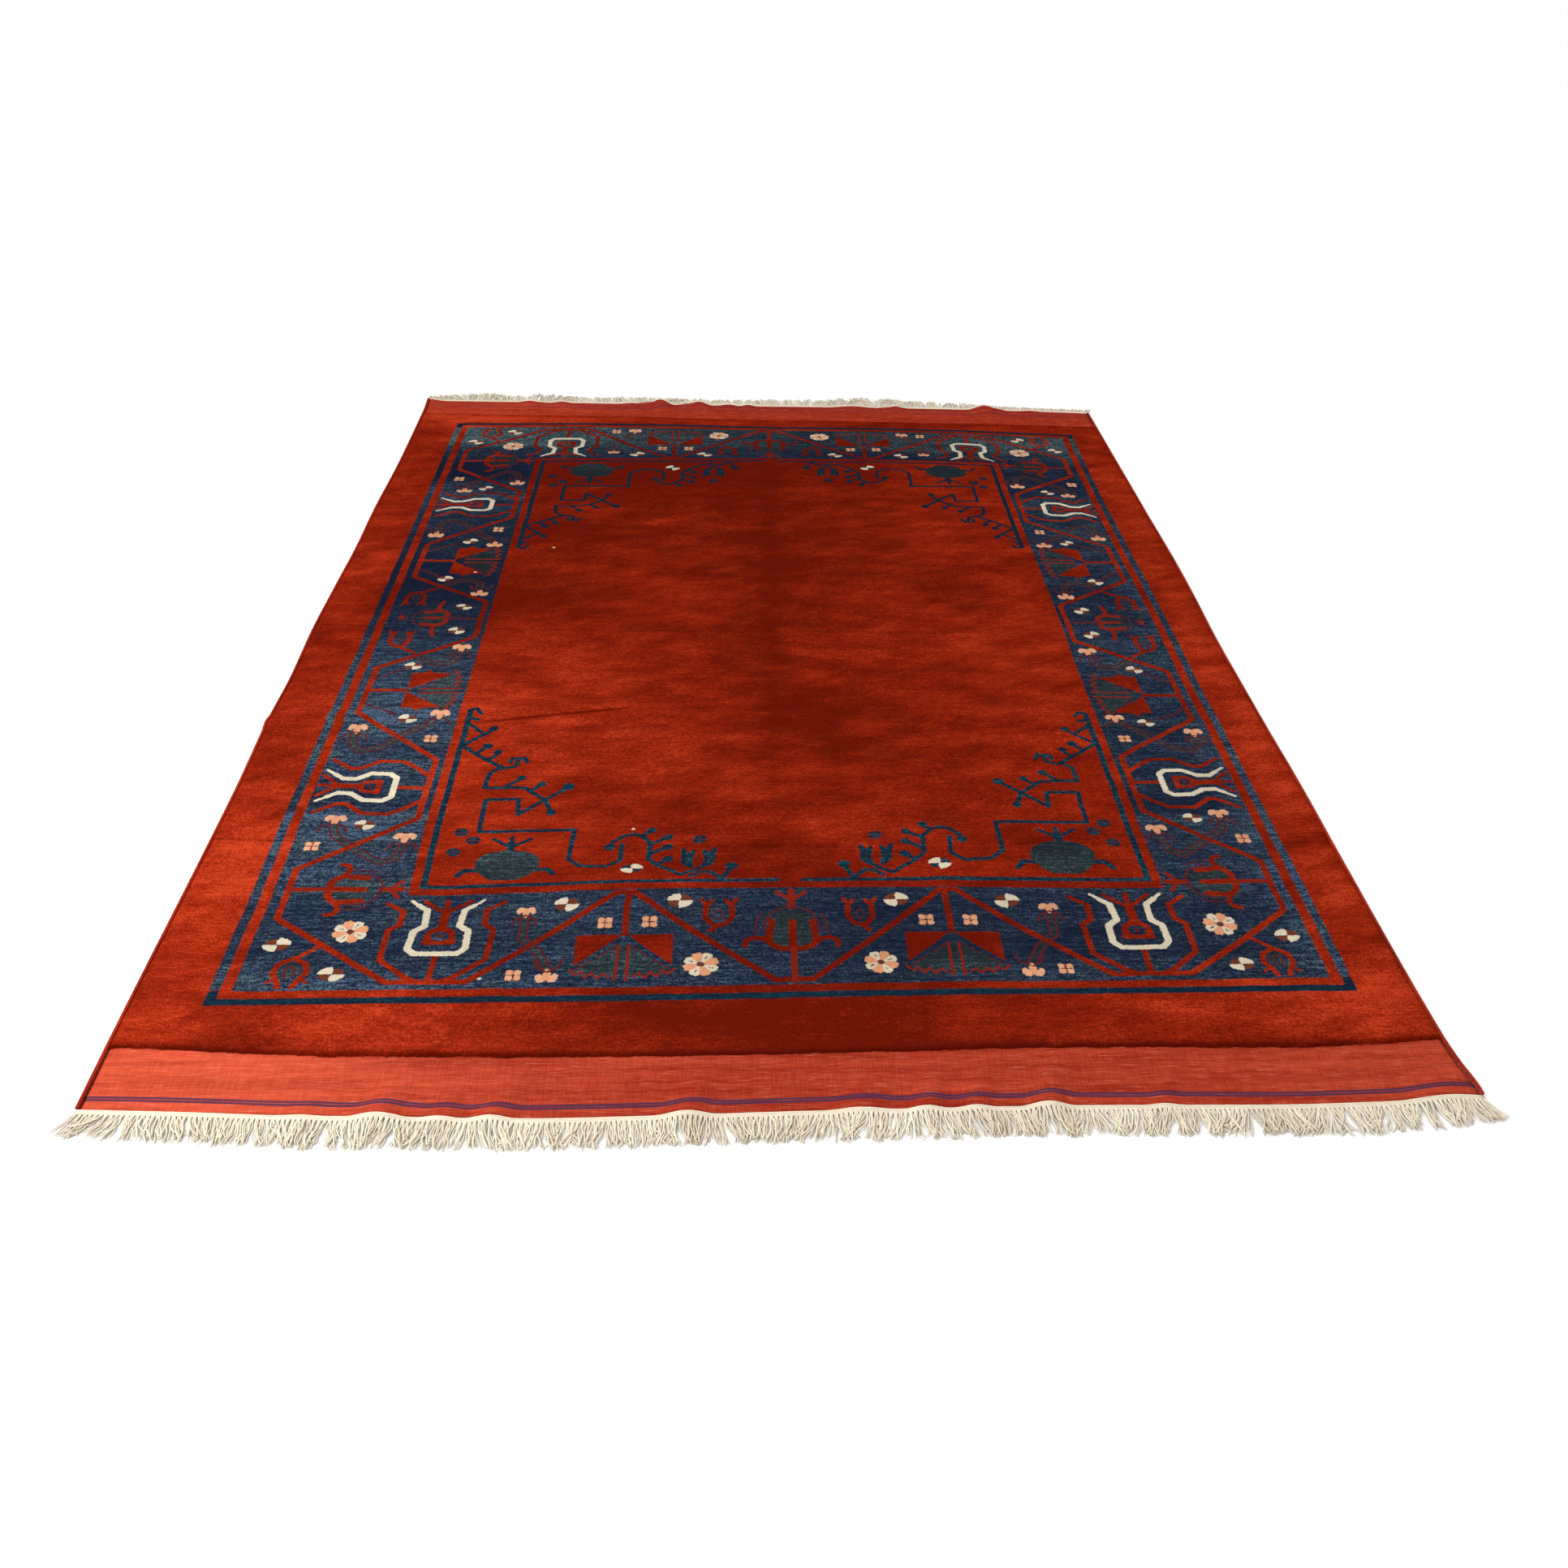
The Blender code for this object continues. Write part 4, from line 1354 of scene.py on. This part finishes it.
def build_pile(finish):
    width = sheet_width()
    length = float(end("back_foot", 0.0) - end("front_foot", 0.0))
    across, lengthwise = pile_places(width), pile_places(length)
    x, y = rug_grid(across / width, lengthwise / length, "front_foot", "back_foot")
    from_side = np.minimum(across, width - across)[None, :] + 0 * x
    from_end = np.minimum(lengthwise, length - lengthwise)[:, None] + 0 * x
    ragged = noises(RAGGED_NOISES, x, y) * (1 - ease(from_end / RAGGED_REACH))
    bottom = lift(x, y)
    grid = {"x": x, "y": y + ragged, "top": bottom + pile_top(x, y, from_side, from_end), "bottom": bottom}

    cells = cells_at(pile_levels(grid["x"], grid["y"]))
    used = corners_used(cells, x.shape)
    spots = (grid["x"][used], grid["y"][used])
    found = woven_distances(*spots)
    del found[DETAIL]
    # painted shadow at the pile's ends, on top of the nap with its painted light and shade
    foot = 1 - PAINTED_FOOT_SHADOW * np.exp(-((from_end[used] / FOOT_REACH) ** 2))
    found["nap_and_painted_light"] = nap_and_painted_light_level(*spots) * foot
    found["dye"] = dye_shade(*spots)
    found["green"] = green_shade(spots[1])
    found["faded"] = faded_shade(spots[1])
    fields = {}
    for key, values in found.items():
        fields[key] = np.zeros(x.shape)
        fields[key][used] = values

    # cuts across the pile, with as many cells in one strip as in the next
    rows_of_cells = np.sort(np.concatenate([row for row, column in cells.values()]))
    shares = rows_of_cells[(np.linspace(0, 1, PILE_STRIPS + 1) * (len(rows_of_cells) - 1)).astype(int)]
    cuts = (shares / LOW_STEP).round().astype(int) * LOW_STEP
    made = []
    for k, (first, last) in enumerate(zip(cuts, cuts[1:])):
        rows = slice(first, last + 1)
        strip = {}
        for size, (row, column) in cells.items():
            inside = (row >= first) & (row < last)
            strip[size] = (row[inside] - first, column[inside])
        part = {key: values[rows] for key, values in grid.items()}
        values = {key: field[rows] for key, field in fields.items()}
        piece = closed_sheet(f"pile_{k + 1}", finish, part, values, strip, used[rows])
        made.append((piece, width, float(lengthwise[last] - lengthwise[first])))
    return made


FLAT_STEP_ACROSS = 0.008
FLAT_STEP_LENGTHWISE = 0.0025
FLAT_ROUNDING = 0.0025
TUCK = 0.004  # the flat-woven end runs this far in under the pile
FLAT_NAP_NOISES = [(0.06, (0.25, 0.02), 0, 53), (0.05, (0.08, 0.006), 0, 54)]


def flat_tone_and_painted_light(name, x, y):
    """Painted light on a flat-woven end, times its random unevenness: with the light falling off from the
    front left, the front is darker in its middle, and the back is dark all over.
    """
    nap_and_painted_light = 1 + noises(FLAT_NAP_NOISES, x, y)
    if name == "front":
        return nap_and_painted_light * (0.9 - 0.25 * ease((x + 1.0) / 0.9) + 0.1 * ease((x - 0.5) / 0.6))
    return nap_and_painted_light * (0.62 + 0.08 * ease((-0.3 - x) / 0.5))


def build_flatweave(name, finish):
    hem, foot = (f"{name}_hem", f"{name}_foot")
    width = sheet_width()
    length = abs(float(end(foot, 0.0) - end(hem, 0.0)))
    across = np.linspace(0, 1, round(width / FLAT_STEP_ACROSS / LOW_STEP) * LOW_STEP + 1)
    rows = round((length + TUCK) / FLAT_STEP_LENGTHWISE / LOW_STEP) * LOW_STEP
    lengthwise = np.linspace(0, 1 + TUCK / length, rows + 1)
    if name == "back":
        lengthwise = lengthwise[::-1]  # so that y always rises with the rows
    x, y = rug_grid(across, lengthwise, hem, foot)
    inward = np.abs(y - end(hem, x))
    bottom = lift(x, y)
    thick = FLATWEAVE_THICKNESS + 0.0002 * noise(x, y, 0.02, 0.004, 51)
    edge = np.minimum(inward, np.minimum(x - sheet_side("left", y), sheet_side("right", y) - x))
    thick = thick * np.sqrt(1 - (1 - np.clip(edge / FLAT_ROUNDING, 0.03, 1)) ** 2)
    uneven_stripes = 0.0012 * noise(x, y, 0.1, 0.5, 52)
    grid = {"x": x, "y": y, "top": bottom + thick, "bottom": bottom}
    cells = cells_at(np.full((rows // BLOCK, (len(across) - 1) // BLOCK), len(CELL_SIZES) - 1))
    used = corners_used(cells, x.shape)
    fields = {"inward": inward - uneven_stripes, "nap_and_painted_light": flat_tone_and_painted_light(name, x, y)}
    made = closed_sheet(f"flatweave_{name}", finish, grid, fields, cells, used)
    return made, width, length


# ---------------------------------------------------------------- yarn


def tubes(lines, radii, sides):
    """Points and faces of a tube round each line. lines is (count, stations, 3), radii the first two."""
    count, stations, _ = lines.shape
    forward = np.gradient(lines, axis=1)
    forward /= np.maximum(np.linalg.norm(forward, axis=2, keepdims=True), 1e-9)
    across = np.cross(forward, (0.0, 0.0, 1.0))
    across /= np.maximum(np.linalg.norm(across, axis=2, keepdims=True), 1e-9)
    over = np.cross(across, forward)
    angle = 2 * np.pi * np.arange(sides) / sides
    around = across[:, :, None] * np.cos(angle)[:, None] + over[:, :, None] * np.sin(angle)[:, None]
    points = lines[:, :, None] + around * radii[:, :, None, None]
    index = np.arange(count * stations * sides).reshape(count, stations, sides)
    turn = np.roll(index, -1, axis=2)
    walls = np.stack([index[:, :-1], turn[:, :-1], turn[:, 1:], index[:, 1:]], -1).reshape(-1, 4)
    caps = [index[:, 0, ::-1].reshape(-1, sides), index[:, -1].reshape(-1, sides)]
    return points.reshape(-1, 3), [walls, *caps]


GROUPS = 284
HEM_CORDS = (0.0015, 0.0043, 0.007)  # distances out from the hem
HEM_CORD_RADIUS = 0.0015
HEM_CORD_SIDES = 6
HEM_CORD_STATIONS = 264
HEM_CORD_INSET = 0.003

# Where a strand leaves the cords: distance out from the hem, how wide its group lies there, and its
# radius as a share of the strand's
KNOT = [(0.004, 0.9, 0.95), (0.008, 0.78, 1.0), (0.0112, 0.54, 1.1)]
TIP = 0.7  # a strand's radius at its tip, as a share
STRAND_SIDES = 4
STRAND_RADII = (0.001, 0.00145)
TIP_DROP = 0.0006  # the tips reach down to the floor

# How the strands of a group run, in radians: each figure is the most to either side
GROUP_SWAY, STRAND_SWAY = 0.22, 0.12  # where they head
GROUP_TURN, STRAND_TURN = 0.6, 0.35  # how they bend on the way
SPLAY = 30  # radians for each metre off the middle of the group
WAVES = (0.05, 0.3)  # and how much each one waves
LENGTHS = (0.8, 1.1)  # shares of the length at that place
REST_LOW, REST_SPAN = 0.0012, 0.0046  # heights of the strands' middles over the floor


def hem_cords(name, left, right, chance):
    """Cords twined along the hem."""
    outward = -1 if name == "front" else 1
    x = np.linspace(left + HEM_CORD_INSET, right - HEM_CORD_INSET, HEM_CORD_STATIONS)
    hem = end(name + "_hem", x)
    # the outer cords lie a little lower
    lines = np.stack([
        np.stack([x, hem + outward * out, lift(x, hem) + HEM_CORD_RADIUS * (1.3 - 60 * out)], -1)
        for out in HEM_CORDS
    ])
    radii = HEM_CORD_RADIUS * chance.uniform(0.92, 1.06, lines.shape[:2])
    return tubes(lines, radii, HEM_CORD_SIDES)


def strand_lines(name, left, pitch, group, offset, stations, seed, chance):
    """Middle lines of the strands: pinched in a knot, and then loose on the floor."""
    outward = -1 if name == "front" else 1
    count = len(group)
    middle = left + (group + 0.5) * pitch
    hem = end(name + "_hem", middle)
    height = lift(middle, hem)

    def either_way(most, size):
        return chance.uniform(-most, most, size)

    sways = [(0.4, (0.03, 1), 0, seed + 1), (0.35, (0.011, 1), 0, seed + 2)]
    sway = noises(sways, middle, np.zeros(count)) + either_way(GROUP_SWAY, GROUPS)[group]
    heading = np.arctan(fringe(name + "_lean", middle)) + sway + either_way(STRAND_SWAY, count)
    heading = heading + SPLAY * offset
    turn = either_way(STRAND_TURN, count) + either_way(GROUP_TURN, GROUPS)[group]
    wave = chance.uniform(*WAVES, count)
    phase = chance.uniform(0, 2 * np.pi, count)
    length = fringe(name + "_length", middle) * chance.uniform(*LENGTHS, count)
    rest = REST_LOW + REST_SPAN * chance.uniform(0, 1, count) ** 1.5

    lines = np.zeros((count, len(KNOT) + stations, 3))
    for k, (out, share, _) in enumerate(KNOT):
        lines[:, k, 0] = middle + offset * share
        lines[:, k, 1] = hem + outward * out
        lines[:, k, 2] = height * (1 - 0.1 * k) + 0.001 + 0.0006 * k
    # past the knot a strand turns into its heading, and sinks to the floor over its first half
    step = length / stations
    for k in range(stations):
        t = (k + 0.5) / stations
        angle = heading * min(1.0, 0.35 + t) + turn * t * t + wave * np.sin(8 * t + phase)
        before, here = lines[:, len(KNOT) + k - 1], lines[:, len(KNOT) + k]
        still_up = 1 - float(ease((k + 1) / stations * 1.9))
        here[:, 0] = before[:, 0] + np.sin(angle) * step
        here[:, 1] = before[:, 1] + outward * np.cos(angle) * step
        here[:, 2] = 0.85 * height * still_up + rest * min(1.0, 0.5 + t) + 0.001 * (1 - t)
    return lines


def build_fringe(name, finish, strands, stations, seed):
    """Twined cords along the hem, and the groups of strands."""
    hem_y = -HALF_LENGTH if name == "front" else HALF_LENGTH
    left, right = float(side("left", hem_y)), float(side("right", hem_y))
    pitch = (right - left) / GROUPS
    chance = np.random.default_rng(seed)
    group = np.repeat(np.arange(GROUPS), strands)
    place = np.tile(np.arange(strands), GROUPS)
    offset = (place - (strands - 1) / 2) * pitch / strands
    lines = strand_lines(name, left, pitch, group, offset, stations, seed, chance)
    taper = np.array([*(share for _, _, share in KNOT), *np.ones(stations - 1), TIP])
    radii = chance.uniform(*STRAND_RADII, len(group))[:, None] * taper
    lines[:, -1, 2] -= TIP_DROP
    lines[..., 2] = np.maximum(lines[..., 2], radii)
    points, faces = tubes(lines, radii, STRAND_SIDES)

    middle = left + (group + 0.5) * pitch
    tone = 0.62 + 0.22 * noise(middle, np.zeros(len(group)), 0.05, 1, seed + 4)
    tone = np.clip(tone + chance.uniform(-0.3, 0.3, len(group)), 0, 1)
    cord_points, cord_faces = hem_cords(name, left, right, chance)
    cord_tone = chance.uniform(0.55, 0.9, len(cord_points))
    tones = np.concatenate([np.repeat(tone, lines.shape[1] * STRAND_SIDES), cord_tone])
    faces = faces + [part + len(points) for part in cord_faces]
    points = np.concatenate([points, cord_points])
    return add_mesh(f"fringe_{name}_yarns", points, faces, finish, {"tone": tones})


WRAP_PITCH = 0.0036
WRAP_RISE, WRAP_FALL = 0.00035, 0.00045  # how far the turns stand out, and lie in between
WRAP_UNEVEN = 0.00015
WRAP_SLANT = 0.0009
SELVEDGE_SIDES = 6
SELVEDGE_STOP = 0.001  # the cords stop this far short of the hems


def build_selvedge(name, finish):
    """An overcast cord: each turn of the yarn stands a little proud."""
    outward = -1 if name == "left" else 1
    edge = float(body_side(name, 0.0))
    first = float(end("front_hem", edge)) + SELVEDGE_STOP
    last = float(end("back_hem", edge)) - SELVEDGE_STOP
    count = int((last - first) / WRAP_PITCH) * 2 + 1
    y = np.linspace(first, last, count)
    edge = body_side(name, y)
    x = edge + outward * (CLEARANCE + SELVEDGE_RADIUS)
    z = lift(edge, y) + SELVEDGE_RADIUS
    chance = np.random.default_rng(60 + outward)
    radii = SELVEDGE_RADIUS + np.where(np.arange(count) % 2, WRAP_RISE, -WRAP_FALL)
    radii = radii + chance.uniform(-WRAP_UNEVEN, WRAP_UNEVEN, count)
    points, faces = tubes(np.stack([x, y, z], 1)[None], radii[None], SELVEDGE_SIDES)
    angle = 2 * np.pi * np.arange(SELVEDGE_SIDES) / SELVEDGE_SIDES
    points[:, 1] += np.tile(WRAP_SLANT * np.cos(angle), count)
    return add_mesh(f"selvedge_{name}_wraps", points, faces, finish)


# ---------------------------------------------------------------- floor, light and camera

CAMERA_PLACE = (-0.09786, -3.05903, 1.63463)
CAMERA_RIGHT = (0.99722, -0.06027, 0.04381)
CAMERA_DOWN = (0.0025, -0.56052, -0.82814)
CAMERA_FORWARD = (0.07447, 0.82595, -0.55881)
CAMERA_LENS = 33.68
CAMERA_SHIFT = -0.0392
SENSOR_WIDTH = 36
FLOOR_REACH = 40
FLOOR_DROP = 0.0006  # so that the floor shares no plane with the rug's underside


def build_camera():
    data = bpy.data.cameras.new("camera")
    data.sensor_width = SENSOR_WIDTH
    data.lens = CAMERA_LENS
    data.shift_x = CAMERA_SHIFT
    made = add_object("camera", data)
    axes = Matrix((CAMERA_RIGHT, -Vector(CAMERA_DOWN), -Vector(CAMERA_FORWARD))).transposed()
    made.matrix_world = Matrix.Translation(CAMERA_PLACE) @ axes.to_4x4()
    bpy.context.scene.camera = made


def add_light(name, place, aim, size, power):
    """A square light of this size, aimed at a point."""
    data = bpy.data.lights.new(name, "AREA")
    data.shape = "SQUARE"
    data.size = size
    data.energy = power
    made = add_object(name, data)
    made.location = place
    made.rotation_euler = (Vector(aim) - Vector(place)).to_track_quat("-Z", "Y").to_euler()


def add_sun(name, direction, degrees, strength):
    """Even light from a direction, softened over so many degrees."""
    data = bpy.data.lights.new(name, "SUN")
    data.angle = np.radians(degrees)
    data.energy = strength
    made = add_object(name, data)
    made.rotation_euler = Vector(direction).to_track_quat("Z", "Y").to_euler()


def build_studio():
    sides = ((-1, -1), (1, -1), (1, 1), (-1, 1))
    corners = [(FLOOR_REACH * x, FLOOR_REACH * y, -FLOOR_DROP) for x, y in sides]
    floor = add_mesh("floor", corners, [np.array([(0, 1, 2, 3)])], floor_paint())
    world = bpy.data.worlds.new("studio")
    bpy.context.scene.world = world
    world.use_nodes = True
    background = world.node_tree.nodes["Background"]
    background.inputs["Color"].default_value = (1.0, 1.0, 1.0, 1)
    background.inputs["Strength"].default_value = 1.0
    add_sun("ceiling_light", (-0.5, 0.9, 1.4), 40, 1.0)
    add_light("left_softbox", (-2.6, -2.0, 2.4), (-0.4, -0.4, 0), 2.0, 110)
    bpy.context.scene.view_settings.view_transform = "Standard"


def main():
    build_camera()
    build_studio()
    wool, cord, cotton = pile_wool(), selvedge_wool(), fringe_cotton()
    flat = {
        "front": flat_wool("front_flatweave_wool", FRONT_STRIPES, 0.86, FLATWEAVE_LIGHT),
        "back": flat_wool("back_flatweave_wool", BACK_STRIPES, 0.35, FLATWEAVE_DEEP),
    }
    piles = build_pile(wool)
    for piece, width, length in piles:
        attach(piece, "root")
    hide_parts("rug_body")
    for name, strands, stations, seed in (("front", 5, 8, 71), ("back", 4, 5, 81)):
        cloth, width, length = build_flatweave(name, flat[name])
        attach(cloth, "root")
        yarns = build_fringe(name, cotton, strands, stations, seed)
        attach(yarns, "root")
        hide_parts(f"fringe_{name}")
    for name in ("left", "right"):
        wraps = build_selvedge(name, cord)
        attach(wraps, "root")
        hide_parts(f"selvedge_{name}")


main()
